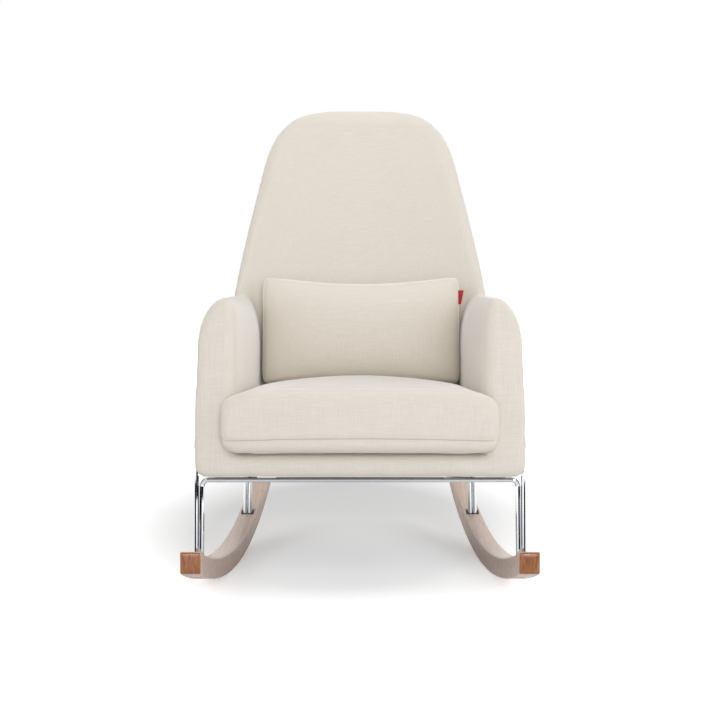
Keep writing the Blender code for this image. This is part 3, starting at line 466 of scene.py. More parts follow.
def tube(name: str, path: Sequence[Point], radius: float, closed: bool = False) -> bpy.types.Object:
    """Thin round cord along a path, as a mesh.

    Args:
        name: Name of the object.
        path: Points that the cord follows.
        radius: Radius of the cord.
        closed: Whether its ends meet.

    Returns:
        The cord.
    """
    data = bpy.data.curves.new(name, "CURVE")
    data.dimensions = "3D"
    data.bevel_depth = radius
    data.bevel_resolution = 1
    data.use_fill_caps = not closed
    spline = data.splines.new("POLY")
    spline.points.add(len(path) - 1)
    for target, point in zip(spline.points, path):
        target.co = (*point, 1.0)
    spline.use_cyclic_u = closed
    holder = placed(name + "_path", data)
    graph = bpy.context.evaluated_depsgraph_get()
    mesh = bpy.data.meshes.new_from_object(holder.evaluated_get(graph))
    bpy.data.objects.remove(holder, do_unlink=True)
    mesh.name = name
    mesh.shade_smooth()
    return placed(name, mesh)


def eased_path(tree: BVHTree, path: Path, proud: float, passes: int = 4) -> Path:
    """Lay a path on a surface and take its small zigzags out.

    Args:
        tree: Search tree of the surface.
        path: Points near the surface.
        proud: How far the path stands off the surface.
        passes: Number of smoothing passes.

    Returns:
        Points of the smooth path.
    """
    laid = []
    for point in path:
        place, normal, _, _ = tree.find_nearest(point)
        laid.append(place + normal * proud)
    for _ in range(passes):
        middle = [(a + 2 * b + c) / 4 for a, b, c in zip(laid, laid[1:], laid[2:])]
        laid = [laid[0], *middle, laid[-1]]
    return laid


def press_seam(obj: bpy.types.Object, path: Sequence[Vector], depth: float, reach: float) -> None:
    """Draw cloth in along a seam.

    Args:
        obj: Object whose surface is drawn in.
        path: Points of the seam.
        depth: How far the cloth is drawn in at the seam.
        reach: Distance from the seam at which about a third of that is left.
    """
    points = coords(obj)
    inward = -normals(obj)
    line = np.array([tuple(p) for p in path])
    limit = 3 * reach
    low, high = line.min(axis=0) - limit, line.max(axis=0) + limit
    near = np.where(np.all((points > low) & (points < high), axis=1))[0]
    for i in near:
        gap = np.sqrt(((line - points[i]) ** 2).sum(axis=1).min())
        if gap < limit:
            points[i] += inward[i] * depth * math.exp(-((gap / reach) ** 2))
    set_coords(obj, points)


# Finishes


@dataclass(frozen=True)
class WovenLinen:
    """Plain-woven linen-look upholstery cloth.

    The cloth is matt and pale. Its eye-catching marks are slubs, the thicker stretches of
    single threads, which run level and upright, and a faint light bloom of loose fibre.
    """

    name: str = "plain_woven_linen"
    thread: str = "#E8E2D9"
    slub: str = "#E0D9CE"
    thread_mm: float = 1.6  # real threads are near 0.5 mm; drawn coarser so that they show
    slub_mm: float = 2.2
    slub_run_mm: float = 38.0

    def material(self) -> bpy.types.Material:
        """Make the material.

        Returns:
            A material that follows the piece's own coordinates, so it needs no unwrapping.
        """
        material, tree, shader = new_material(self.name)
        place = add_node(tree, "TexCoord")
        facing = add_node(tree, "VectorMath", {"operation": "ABSOLUTE"}, {0: place.outputs["Normal"]})
        share = add_node(tree, "SeparateXYZ", links={0: facing.outputs[0]})
        thread = WAVE_SCALE / self.thread_mm
        slubs = []
        ridges = []
        for axis in range(3):
            scale = [PER_METRE / self.slub_mm] * 3
            scale[axis] = PER_METRE / self.slub_run_mm
            spread = {"operation": "MULTIPLY", 1: scale}
            stretched = add_node(tree, "VectorMath", spread, {0: place.outputs["Object"]})
            fibre = {"Scale": 1.0, "Detail": 3.0}
            grain = add_node(tree, "TexNoise", fibre, {"Vector": stretched.outputs[0]})
            waves = {"bands_direction": "XYZ"[axis], "Scale": thread, "Distortion": 0.6}
            rows = add_node(tree, "TexWave", waves, {"Vector": place.outputs["Object"]})
            flat = add_node(tree, "Math", {"operation": "SUBTRACT", 0: 1.0}, {1: share.outputs[axis]})
            for pattern, parts in ((grain, slubs), (rows, ridges)):
                factors = {0: pattern.outputs["Fac"], 1: flat.outputs[0]}
                parts.append(add_node(tree, "Math", {"operation": "MULTIPLY"}, factors).outputs[0])
        slub_sum = self.total(tree, slubs)
        ridge_sum = self.total(tree, ridges)
        tone = add_node(tree, "MapRange", {"From Min": 0.72, "From Max": 1.28}, {"Value": slub_sum})
        threads = {"data_type": "RGBA", 6: srgb(self.slub), 7: srgb(self.thread)}
        colour = add_node(tree, "Mix", threads, {0: tone.outputs["Result"]})
        height = add_node(tree, "Math", {"operation": "MULTIPLY_ADD", 1: 0.6}, {0: slub_sum, 2: ridge_sum})
        relief = {"Strength": 0.35, "Distance": 0.0006}
        bump = add_node(tree, "Bump", relief, {"Height": height.outputs[0]})
        matt = {
            "Roughness": 0.92,
            "IOR": 1.46,
            "Specular IOR Level": 0.25,
            "Sheen Weight": 1.0,
            "Sheen Roughness": 0.3,
        }
        set_up(tree, shader, matt, {"Base Color": colour.outputs[2], "Normal": bump.outputs["Normal"]})
        return material

    @staticmethod
    def total(tree: bpy.types.NodeTree, sockets: Sequence[bpy.types.NodeSocket]) -> bpy.types.NodeSocket:
        """Sum of the sockets of the three directions."""
        first = add_node(tree, "Math", {"operation": "ADD"}, {0: sockets[0], 1: sockets[1]})
        return add_node(tree, "Math", {"operation": "ADD"}, {0: first.outputs[0], 1: sockets[2]}).outputs[0]


@dataclass(frozen=True)
class BentWalnut:
    """Walnut strips bent and glued to an arc, sanded and satin-lacquered.

    The eye sees straight grain that follows the bend, darker and redder end grain with upright
    layers, and a soft white gloss of lacquer. The side colours are drawn paler and greyer than
    walnut: the wood's own grain with a painted reflection of the white surroundings in the lacquer.
    """

    roll_centre: tuple[float, float]  # Y and Z of the axis that the strips are bent about
    name: str = "bent_walnut_satin_lacquer"
    # side colours paler and greyer than walnut: own earlywood and latewood plus painted reflection of the
    # white surroundings
    early: str = "#E2CABB"
    late: str = "#CFB3A3"
    end_early: str = "#B27850"
    end_late: str = "#7A472C"
    pore: str = "#74492F"
    layer_mm: float = 2.6
    layer_rise_mm: float = 18.2
    grain_run_mm: float = 170.0
    pore_mm: float = 0.9  # real pores are near 0.2 mm; drawn coarser so that they show
    pore_run_mm: float = 27.0

    def material(self) -> bpy.types.Material:
        """Make the material.

        Returns:
            A material whose grain runs round the roll axis.
        """
        material, tree, shader = new_material(self.name)
        axis_y, axis_z = self.roll_centre
        place = add_node(tree, "TexCoord")
        split = add_node(tree, "SeparateXYZ", links={0: place.outputs["Object"]})
        back = add_node(tree, "Math", {"operation": "SUBTRACT", 1: axis_y}, {0: split.outputs[1]})
        down = add_node(tree, "Math", {"operation": "SUBTRACT", 0: axis_z}, {1: split.outputs[2]})
        turn = add_node(tree, "Math", {"operation": "ARCTAN2"}, {0: back.outputs[0], 1: down.outputs[0]})
        run = add_node(tree, "Math", {"operation": "MULTIPLY", 1: axis_z}, {0: turn.outputs[0]})
        offset = add_node(tree, "CombineXYZ", links={0: back.outputs[0], 1: down.outputs[0]})
        radius = add_node(tree, "VectorMath", {"operation": "LENGTH"}, {0: offset.outputs[0]})
        unrolled = {0: split.outputs[0], 1: run.outputs[0], 2: radius.outputs["Value"]}
        bent = add_node(tree, "CombineXYZ", links=unrolled)
        scale = [PER_METRE / size for size in (self.layer_mm, self.grain_run_mm, self.layer_rise_mm)]
        layers = add_node(tree, "VectorMath", {"operation": "MULTIPLY", 1: scale}, {0: bent.outputs[0]})
        waver = {"Scale": 1.0, "Detail": 4.0, "Roughness": 0.6, "Distortion": 0.4}
        figure = add_node(tree, "TexNoise", waver, {"Vector": layers.outputs[0]})
        scale = [PER_METRE / size for size in (self.pore_mm, self.pore_run_mm, self.pore_mm)]
        streaks = add_node(tree, "VectorMath", {"operation": "MULTIPLY", 1: scale}, {0: bent.outputs[0]})
        pores = add_node(tree, "TexNoise", {"Scale": 1.0, "Detail": 1.0}, {"Vector": streaks.outputs[0]})
        limits = {"From Min": 0.58, "From Max": 0.78, "To Min": 0.0, "To Max": 0.55}
        pore_mask = add_node(tree, "MapRange", limits, {"Value": pores.outputs["Fac"]})
        limits = {"From Min": 0.3, "From Max": 0.7}
        figure_share = add_node(tree, "MapRange", limits, {"Value": figure.outputs["Fac"]})
        woods = []
        for late, early in ((self.late, self.early), (self.end_late, self.end_early)):
            colours = {"data_type": "RGBA", 6: srgb(late), 7: srgb(early)}
            woods.append(add_node(tree, "Mix", colours, {0: figure_share.outputs["Result"]}).outputs[2])
        facing = add_node(tree, "SeparateXYZ", links={0: place.outputs["Normal"]})
        along = add_node(tree, "Math", {"operation": "ABSOLUTE"}, {0: facing.outputs[1]})
        limits = {"From Min": 0.42, "From Max": 0.55}
        end_mask = add_node(tree, "MapRange", limits, {"Value": along.outputs[0]})
        sides_and_ends = {0: end_mask.outputs["Result"], 6: woods[0], 7: woods[1]}
        wood = add_node(tree, "Mix", {"data_type": "RGBA"}, sides_and_ends)
        pored = {0: pore_mask.outputs["Result"], 6: wood.outputs[2]}
        colour = add_node(tree, "Mix", {"data_type": "RGBA", 7: srgb(self.pore)}, pored)
        relief = {"Strength": 0.15, "Distance": 0.0003, "invert": True}
        bump = add_node(tree, "Bump", relief, {"Height": pore_mask.outputs["Result"]})
        satin = {"To Min": 0.36, "To Max": 0.5}
        rough = add_node(tree, "MapRange", satin, {"Value": figure.outputs["Fac"]})
        lacquer = {"IOR": 1.5, "Specular IOR Level": 0.15, "Coat Weight": 0.45, "Coat Roughness": 0.11}
        links = {
            "Base Color": colour.outputs[2],
            "Normal": bump.outputs["Normal"],
            "Roughness": rough.outputs["Result"],
        }
        set_up(tree, shader, lacquer, links)
        return material


@dataclass(frozen=True)
class PolishedChrome:
    """Bright chrome plate on polished steel rod: a mirror whose polish is a little uneven."""

    name: str = "polished_chrome_plate"
    plate: str = "#CDD1D5"
    polish_mm: float = 2.5

    def material(self) -> bpy.types.Material:
        """Make the material.

        Returns:
            A metal with a slightly uneven polish.
        """
        material, tree, shader = new_material(self.name)
        place = add_node(tree, "TexCoord")
        patches = {"Scale": PER_METRE / self.polish_mm, "Detail": 2.0}
        polish = add_node(tree, "TexNoise", patches, {"Vector": place.outputs["Object"]})
        bright = {"To Min": 0.03, "To Max": 0.08}
        rough = add_node(tree, "MapRange", bright, {"Value": polish.outputs["Fac"]})
        plated = {"Base Color": srgb(self.plate), "Metallic": 1.0}
        set_up(tree, shader, plated, {"Roughness": rough.outputs["Result"]})
        return material


@dataclass(frozen=True)
class BlackenedSteel:
    """Blackened zinc on steel: nearly black, half matt, a little cloudy."""

    name: str = "blackened_zinc_steel"
    dark: str = "#1C1C1E"
    light: str = "#303134"
    cloud_mm: float = 6.0

    def material(self) -> bpy.types.Material:
        """Make the material.

        Returns:
            A dark metal with a cloudy passivated film.
        """
        material, tree, shader = new_material(self.name)
        place = add_node(tree, "TexCoord")
        patches = {"Scale": PER_METRE / self.cloud_mm, "Detail": 4.0}
        cloud = add_node(tree, "TexNoise", patches, {"Vector": place.outputs["Object"]})
        film = {"data_type": "RGBA", 6: srgb(self.dark), 7: srgb(self.light)}
        colour = add_node(tree, "Mix", film, {0: cloud.outputs["Fac"]})
        half_matt = {"To Min": 0.3, "To Max": 0.5}
        rough = add_node(tree, "MapRange", half_matt, {"Value": cloud.outputs["Fac"]})
        links = {"Base Color": colour.outputs[2], "Roughness": rough.outputs["Result"]}
        set_up(tree, shader, {"Metallic": 1.0}, links)
        return material


@dataclass(frozen=True)
class BirchPlywood:
    """Sanded birch plywood: pale yellow and matt, with a long soft figure."""

    name: str = "sanded_birch_plywood"
    light: str = "#D9BE94"
    dark: str = "#B8935F"
    figure_mm: float = 9.0
    figure_run_mm: float = 120.0

    def material(self) -> bpy.types.Material:
        """Make the material.

        Returns:
            A matt wood with long soft figure.
        """
        material, tree, shader = new_material(self.name)
        place = add_node(tree, "TexCoord")
        scale = [PER_METRE / size for size in (self.figure_mm, self.figure_run_mm, self.figure_mm)]
        spread = {"operation": "MULTIPLY", 1: scale}
        stretched = add_node(tree, "VectorMath", spread, {0: place.outputs["Object"]})
        waver = {"Scale": 1.0, "Detail": 4.0, "Distortion": 0.6}
        figure = add_node(tree, "TexNoise", waver, {"Vector": stretched.outputs[0]})
        veneer = {"data_type": "RGBA", 6: srgb(self.dark), 7: srgb(self.light)}
        colour = add_node(tree, "Mix", veneer, {0: figure.outputs["Fac"]})
        relief = {"Strength": 0.2, "Distance": 0.0002}
        bump = add_node(tree, "Bump", relief, {"Height": figure.outputs["Fac"]})
        links = {"Base Color": colour.outputs[2], "Normal": bump.outputs["Normal"]}
        set_up(tree, shader, {"Roughness": 0.62, "IOR": 1.5}, links)
        return material


@dataclass(frozen=True)
class RibbedWeave:
    """Narrow woven band or non-woven cloth: matt, with ribs across it at one spacing."""

    name: str
    light: str
    dark: str
    rib_mm: float
    direction: str = "X"
    roughness: float = 0.85
    flecks: float = 0.7  # to one rib

    def material(self) -> bpy.types.Material:
        """Make the material.

        Returns:
            A matt cloth with ribs and a little flecking.
        """
        material, tree, shader = new_material(self.name)
        place = add_node(tree, "TexCoord")
        waves = {"bands_direction": self.direction, "Scale": WAVE_SCALE / self.rib_mm, "Distortion": 0.4}
        ribs = add_node(tree, "TexWave", waves, {"Vector": place.outputs["Object"]})
        patches = {"Scale": PER_METRE * self.flecks / self.rib_mm, "Detail": 3.0}
        fleck = add_node(tree, "TexNoise", patches, {"Vector": place.outputs["Object"]})
        tone = add_node(tree, "Math", {"operation": "MULTIPLY", 1: 0.5}, {0: ribs.outputs["Fac"]})
        both = {0: fleck.outputs["Fac"], 2: tone.outputs[0]}
        share = add_node(tree, "Math", {"operation": "MULTIPLY_ADD", 1: 0.5}, both)
        yarns = {"data_type": "RGBA", 6: srgb(self.dark), 7: srgb(self.light)}
        colour = add_node(tree, "Mix", yarns, {0: share.outputs[0]})
        relief = {"Strength": 0.4, "Distance": 0.0003}
        bump = add_node(tree, "Bump", relief, {"Height": share.outputs[0]})
        links = {"Base Color": colour.outputs[2], "Normal": bump.outputs["Normal"]}
        set_up(tree, shader, {"Roughness": self.roughness, "Sheen Weight": 0.1}, links)
        return material


Finish = Union[WovenLinen, BentWalnut, PolishedChrome, BlackenedSteel, BirchPlywood, RibbedWeave]


@dataclass
class FinishBook:
    """Makes each finish's material once and gives it to pieces."""

    made: dict[str, bpy.types.Material] = field(default_factory=dict)

    def dress(self, obj: bpy.types.Object, finish: Finish) -> None:
        """Give an object one finish.

        Args:
            obj: Piece that is dressed.
            finish: Finish that it takes.
        """
        if finish.name not in self.made:
            self.made[finish.name] = finish.material()
        material = self.made[finish.name]
        if not obj.material_slots:
            obj.data.materials.append(material)
        for slot in obj.material_slots:
            slot.material = material


# Lines of the chair


@dataclass(frozen=True)
class ChairLines:
    """Sizes and curves of the chair, the same as those of its solids."""

    rocker_run: float = 0.955
    rocker_spread: float = 0.7096
    rocker_radius: float = 1.294
    rocker_contact: float = 0.410
    toe_in: float = 0.0918
    rod_diameter: float = 0.011
    leg_splay: float = 0.0028
    front_leg_depth: float = 0.091
    body_bottom: float = 0.262
    body_edge: float = 0.025
    rear_edge: float = 0.003
    least_edge: float = 0.003
    edge_fade: float = 2.5
    side_gap: float = 0.0011
    arm_front_depth: float = 0.045
    arm_top: float = 0.644
    arm_crest: tuple[float, float] = (0.281, 0.292)
    arm_crest_room: tuple[float, float] = (0.002, 0.004)
    arm_inner_front: float = 0.260
    arm_inner_taper: float = 0.0367
    arm_front_swell: float = 0.0055
    arm_front_round: float = 0.016
    arm_inner_round: tuple[float, float] = (0.015, 0.052)
    arm_draft: float = 0.0070
    arm_draft_start: float = 0.400
    arm_outer_drop: tuple[float, float] = (0.115, 0.060)
    arm_inner_drop: tuple[float, float] = (0.045, 0.130)
    rail_pad_depth: float = 0.040
    rail_pad_top: float = 0.3128
    back_top: float = 1.1125
    back_fullness: float = 0.0028
    fullness_span: tuple[float, float, float] = (0.45, 0.8, 0.15)  # start, end and run of each ease
    shoulder_height: float = 0.637
    shoulder_half: float = 0.3095
    side_slope: float = 0.2038
    lower_slope: float = 0.032
    shoulder_soft: float = 0.030
    crown_start: float = 0.900
    crown_powers: tuple[float, float] = (3.6, 3.8)
    back_front_depth: float = 0.560
    back_front_slope: float = 0.0649
    back_front_curve: float = 0.1808
    back_rear_depth: float = 0.735
    back_rear_slope: float = -0.0975
    back_rear_curve: float = 0.2089
    wrap: tuple[float, float] = (0.055, 0.012)
    bow: float = 0.026
    front_corner: tuple[float, float] = (0.012, 0.028)
    rear_corner: float = 0.050
    corner_shares: tuple[float, float] = (0.3, 0.5)  # of the thickness, at the front and the rear
    taper_start: float = 0.02
    least_half: float = 0.004
    least_room: float = 0.002
    front_steps: int = 16
    front_corner_steps: int = 6
    rear_corner_steps: int = 8
    rear_steps: int = 12
    top_round: float = 0.050
    top_stop: float = 0.999  # share of the round top that is drawn
    seat_height: float = 0.316
    seat_pitch: float = math.radians(1.4)

    def y(self, depth: float) -> float:
        """Y of a depth behind the rockers' front ends."""
        return depth - self.rocker_run / 2

    def seat_frame(self) -> Matrix:
        """Frame on the deck at the front of the arms, pitched down towards the back."""
        place = Matrix.Translation((0, self.y(self.arm_front_depth), self.seat_height))
        return place @ Matrix.Rotation(-self.seat_pitch, 4, "X")

    def roll_centre(self) -> tuple[float, float]:
        """Y and Z of the axis that the rockers are bent about."""
        return (self.y(self.rocker_contact), self.rocker_radius)

    def arm_outer(self, depth: float) -> float:
        """Half width of the body's side, just inside the side rods and fuller ahead of them.

        Args:
            depth: Depth behind the rockers' front ends.

        Returns:
            The half width.
        """
        side_rod = self.rocker_spread / 2 - self.toe_in * depth - self.leg_splay
        full = self.arm_front_depth + self.arm_front_round
        free = self.front_leg_depth - self.rod_diameter
        swell = 1 - ease((depth - full) / (free - full))
        return side_rod - self.side_gap + self.arm_front_swell * swell

    def arm_inner(self, depth: float) -> float:
        """Half width of the seat between the arms."""
        return self.arm_inner_front - self.arm_inner_taper * (depth - self.arm_front_depth)

    def back_half(self, height: float) -> float:
        """Half width of the back, a bell that swells to the shoulder.

        Args:
            height: Height above the floor.

        Returns:
            The half width.
        """
        rise = height - self.shoulder_height
        lean = (self.side_slope - self.lower_slope) / 2
        turn = (self.side_slope + self.lower_slope) / 2
        half = self.shoulder_half - lean * rise - turn * math.hypot(rise, self.shoulder_soft)
        start, end, run = self.fullness_span
        half += self.back_fullness * ease((height - start) / run) * (1 - ease((height - end) / run))
        share = (height - self.crown_start) / (self.back_top - self.crown_start)
        if share <= 0:
            return half
        return half * (1 - min(share, 1.0) ** self.crown_powers[0]) ** (1 / self.crown_powers[1])

    def back_front(self, x: float, height: float) -> float:
        """Depth of the back's front face.

        Args:
            x: Place across the back.
            height: Height above the floor.

        Returns:
            The depth.
        """
        rise = height - self.seat_height
        middle = self.back_front_depth + self.back_front_slope * rise + self.back_front_curve * rise * rise
        share = (height - self.shoulder_height) / (self.back_top - self.shoulder_height)
        wrap = mix(*self.wrap, share)
        return middle - wrap * (x / self.back_half(min(height, self.crown_start))) ** 2

    def back_rear(self, x: float, height: float) -> float:
        """Depth of the back's rear face.

        Args:
            x: Place across the back.
            height: Height above the floor.

        Returns:
            The depth.
        """
        rise = height - self.body_bottom
        middle = self.back_rear_depth + self.back_rear_slope * rise + self.back_rear_curve * rise * rise
        return middle - self.bow * (x / self.back_half(min(height, self.crown_start))) ** 2

    def top_squeeze(self, height: float) -> float:
        """Share of the back's thickness that its round top takes away at a height."""
        over = max(0.0, (height - self.back_top + self.top_round) / self.top_round)
        return 1 - math.sqrt(1 - min(over, self.top_stop) ** 2)

    def back_ring(self, height: float, grow: float = 0.0, squeeze: float = 0.0) -> list[Vector]:
        """Level outline of the back.

        Args:
            height: Height of the outline.
            grow: How far it is moved outwards.
            squeeze: Share of its thickness that is taken away.

        Returns:
            Points anticlockwise from the middle of the front, seen from above.
        """
        half = max(self.back_half(height) + grow, self.least_half)
        share = (height - self.arm_top) / (self.crown_start - self.arm_top)
        front_corner = min(mix(*self.front_corner, share), half / 2)
        rear_corner = min(self.rear_corner, half / 2)
        thin = squeeze * (self.back_rear(0, height) - self.back_front(0, height)) / 2

        def front(x: float) -> float:
            """Depth of the front at a half width."""
            return self.back_front(x, height) - grow + thin

        def rear(x: float) -> float:
            """Depth of the rear at a half width."""
            return self.back_rear(x, height) + grow - thin

        reach = half - front_corner
        steps = self.front_steps
        points = [(reach * i / steps, front(reach * i / steps)) for i in range(steps)]
        room = max(rear(reach) - front(reach), self.least_room)
        front_share, rear_share = self.corner_shares
        deep = min(front_corner, room * front_share)
        points += arc((reach, front(reach) + deep), (front_corner, deep), -90, 0, self.front_corner_steps)
        run = rear(half - rear_corner) - front(reach)
        narrow = half - self.toe_in * max(run - self.taper_start, 0)
        reach = narrow - rear_corner
        deep = min(rear_corner, room * rear_share)
        points += arc((reach, rear(reach) - deep), (rear_corner, deep), 0, 90, self.rear_corner_steps)
        steps = self.rear_steps
        points += [(reach * i / steps, rear(reach * i / steps)) for i in range(steps - 1, -1, -1)]
        return [Vector((x, self.y(depth), height)) for x, depth in with_mirror(points)]

    def arm_section(self, side: Side, depth: float, inset: float = 0.0) -> list[Vector]:
        """Upright outline across an arm: flat sides under two unequal elliptic shoulders.

        Args:
            side: Which arm.
            depth: Depth of the outline.
            inset: How far it is moved inwards.

        Returns:
            Points of the outline.
        """
        share = (depth - self.arm_front_depth) / (self.back_front_depth - self.arm_front_depth)
        outer = self.arm_outer(depth) - inset
        across, along = self.arm_inner_round
        roll = 1 - min((depth - self.arm_front_depth) / along, 1.0)
        inner = self.arm_inner(depth) + inset / 2 + across * (1 - math.sqrt(1 - roll * roll))
        low = self.body_bottom + inset
        high = self.arm_top - inset
        inner_room, outer_room = self.arm_crest_room
        crest = min(max(mix(*self.arm_crest, ease(share)), inner + inner_room), outer - outer_room)
        outer_drop = mix(*self.arm_outer_drop, share)
        inner_drop = mix(*self.arm_inner_drop, share)
        edge = mix(self.body_edge, self.rear_edge, ease(share * self.edge_fade))
        edge = max(edge - inset, self.least_edge)
        draft = self.arm_draft * (1 - ease(share))
        ring = [(inner, low), (outer - edge, low)]
        ring += arc((outer - edge, low + edge), (edge, edge), -75, 0, 5)
        ring.append((outer, self.arm_draft_start))
        ring += arc((crest, high - outer_drop), (outer - draft - crest, outer_drop), 0, 90, 18)
        ring += arc((crest, high - inner_drop), (crest - inner, inner_drop), 95, 180, 16)
        return [Vector((side.value * x, self.y(depth), z)) for x, z in ring]


# Upholstered pieces


@dataclass
class UpholsteredBody:
    """Back, arms and front rail under one drawn-on cover, with a sewn rear panel."""

    lines: ChairLines
    cloth: WovenLinen
    book: FinishBook
    voxel: float = 0.006
    easing: int = 4
    softening: int = 14
    soften_shares: tuple[float, float] = (0.6, 0.62)  # inwards and out again
    ripple: float = 0.0006
    ripple_size: float = 0.14
    bottom_clear: float = 0.0020
    foot_inset: float = 0.8
    foot_rise: float = 1.5
    crown_rings: int = 31
    crown_steps: float = 30.6  # more than the rings reach, so that a small flat is left on top
    arm_run_out: float = 0.020
    arm_short: float = 0.010
    arm_tuck: tuple[float, float] = (0.98, 0.035)  # share of the back's half width, depth inside it
    rail_edge: float = 0.8
    rail_tuck: float = 0.025
    rail_steps: int = 24
    seam_points: int = 120
    seam_step: int = 3  # of the back's rear corner, counted from the side
    seam_ends: tuple[float, float] = (0.012, 0.0008)  # above the bottom and below the top
    seam_crowding: float = 1.8
    seam_radius: float = 0.0008
    seam_depth: float = 0.0018
    seam_reach: float = 0.006
    seam_proud: float = 0.0004

    def back_shell(self) -> bpy.types.Object:
        """Skin of the bell-shaped back.

        Returns:
            The back's shell.
        """
        lines = self.lines
        rings = []
        for turn in quarter_turn(5):
            inset = lines.rear_edge * (1 - math.sin(turn)) * self.foot_inset
            rise = lines.rear_edge * (1 - math.cos(turn))
            rings.append(lines.back_ring(lines.body_bottom + rise, grow=-inset))
        first = lines.body_bottom + self.foot_rise * lines.body_edge
        rings += [lines.back_ring(height) for height in spaced(first, lines.crown_start, 40)[:-1]]
        rise = lines.back_top - lines.crown_start
        for i in range(self.crown_rings):
            height = lines.crown_start + rise * math.sin(math.pi / 2 * i / self.crown_steps)
            rings.append(lines.back_ring(height, squeeze=lines.top_squeeze(height)))
        return lofted("back_shell", rings)

    def arm_shell(self, side: Side) -> bpy.types.Object:
        """Skin of one arm, run on into the back.

        Args:
            side: Which arm.

        Returns:
            The arm's shell.
        """
        lines = self.lines
        rings = []
        for turn in quarter_turn(6):
            depth = lines.arm_front_depth + lines.arm_front_round * (1 - math.cos(turn))
            rings.append(lines.arm_section(side, depth, lines.arm_front_round * (1 - math.sin(turn))))
        start = lines.arm_front_depth + lines.arm_front_round
        end = lines.back_front(lines.arm_crest[1], lines.body_bottom) - self.arm_run_out
        rings += [lines.arm_section(side, depth) for depth in spaced(start, end, 39)[1:]]
        wide, deep = self.arm_tuck
        last = []
        for point in lines.arm_section(side, lines.back_front_depth - self.arm_short):
            half = min(abs(point.x), lines.back_half(point.z) * wide)
            depth = lines.back_front(half, point.z) + deep
            last.append(Vector((side.value * half, lines.y(depth), point.z)))
        rings.append(last)
        if side is Side.LEFT:
            rings = [list(reversed(ring)) for ring in rings]
        return lofted("arm_shell", rings)

    def rail_shell(self) -> bpy.types.Object:
        """Skin of the rail under the front of the cushion, run on into both arms.

        Returns:
            The rail's shell.
        """
        lines = self.lines
        front = lines.arm_front_depth
        rear = front + lines.rail_pad_depth
        edge = lines.body_edge * self.rail_edge
        profile = [(rear, lines.body_bottom), (rear, lines.rail_pad_top)]
        profile += arc((front + edge, lines.rail_pad_top - edge), (edge, edge), 90, 180, 6)
        profile += arc((front + edge, lines.body_bottom + edge), (edge, edge), 180, 270, 6)
        half = lines.arm_inner(rear) + self.rail_tuck
        rings = []
        for i in range(self.rail_steps + 1):
            x = half * (1 - 2 * i / self.rail_steps)
            rings.append([Vector((x, lines.y(depth), z)) for depth, z in profile])
        return lofted("rail_shell", rings)

    def rear_seam(self, tree: BVHTree) -> Path:
        """Path of the seam that joins the rear panel to the sides of the back.

        Args:
            tree: Search tree of the cover.

        Returns:
            Points on the cover, up one side, over the top and down the other.
        """
        lines = self.lines
        on_seam = lines.front_steps + lines.front_corner_steps + 1 + self.seam_step
        low = lines.body_bottom + self.seam_ends[0]
        high = lines.back_top - self.seam_ends[1]
        half_path = []
        for share in spaced(0.0, 1.0, self.seam_points - 1):
            height = mix(low, high, 1 - (1 - share) ** self.seam_crowding)
            ring = lines.back_ring(height, squeeze=lines.top_squeeze(height))
            half_path.append(ring[on_seam])
        path = half_path + [Vector((-p.x, p.y, p.z)) for p in reversed(half_path)]
        return [tree.find_nearest(point)[0] for point in path]

    def build(self) -> list[bpy.types.Object]:
        """Build and dress the cover.

        Returns:
            The cover and its seam.
        """
        shells = [self.back_shell(), self.rail_shell()]
        shells += [self.arm_shell(side) for side in Side]
        cover = joined(shells, "body_cover")
        remeshed(cover, self.voxel)
        relax(cover, self.easing)
        relax(cover, self.softening, *self.soften_shares)
        points = coords(cover)
        out = normals(cover)
        for i, co in enumerate(points):
            points[i] += out[i] * self.ripple * noise.noise(Vector(co) / self.ripple_size)
        points[:, 2] = np.maximum(points[:, 2], self.lines.body_bottom + self.bottom_clear)
        set_coords(cover, points)
        path = self.rear_seam(search_tree(cover))
        press_seam(cover, path, self.seam_depth, self.seam_reach)
        path = eased_path(search_tree(cover), path, self.seam_proud)
        seam = tube("rear_panel_seam", path, self.seam_radius)
        for piece in (cover, seam):
            self.book.dress(piece, self.cloth)
            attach(piece, Body.CHAIR.value)
        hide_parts("back_pad", "arm_pad_left", "arm_pad_right", "front_rail_pad")
        return [cover, seam]


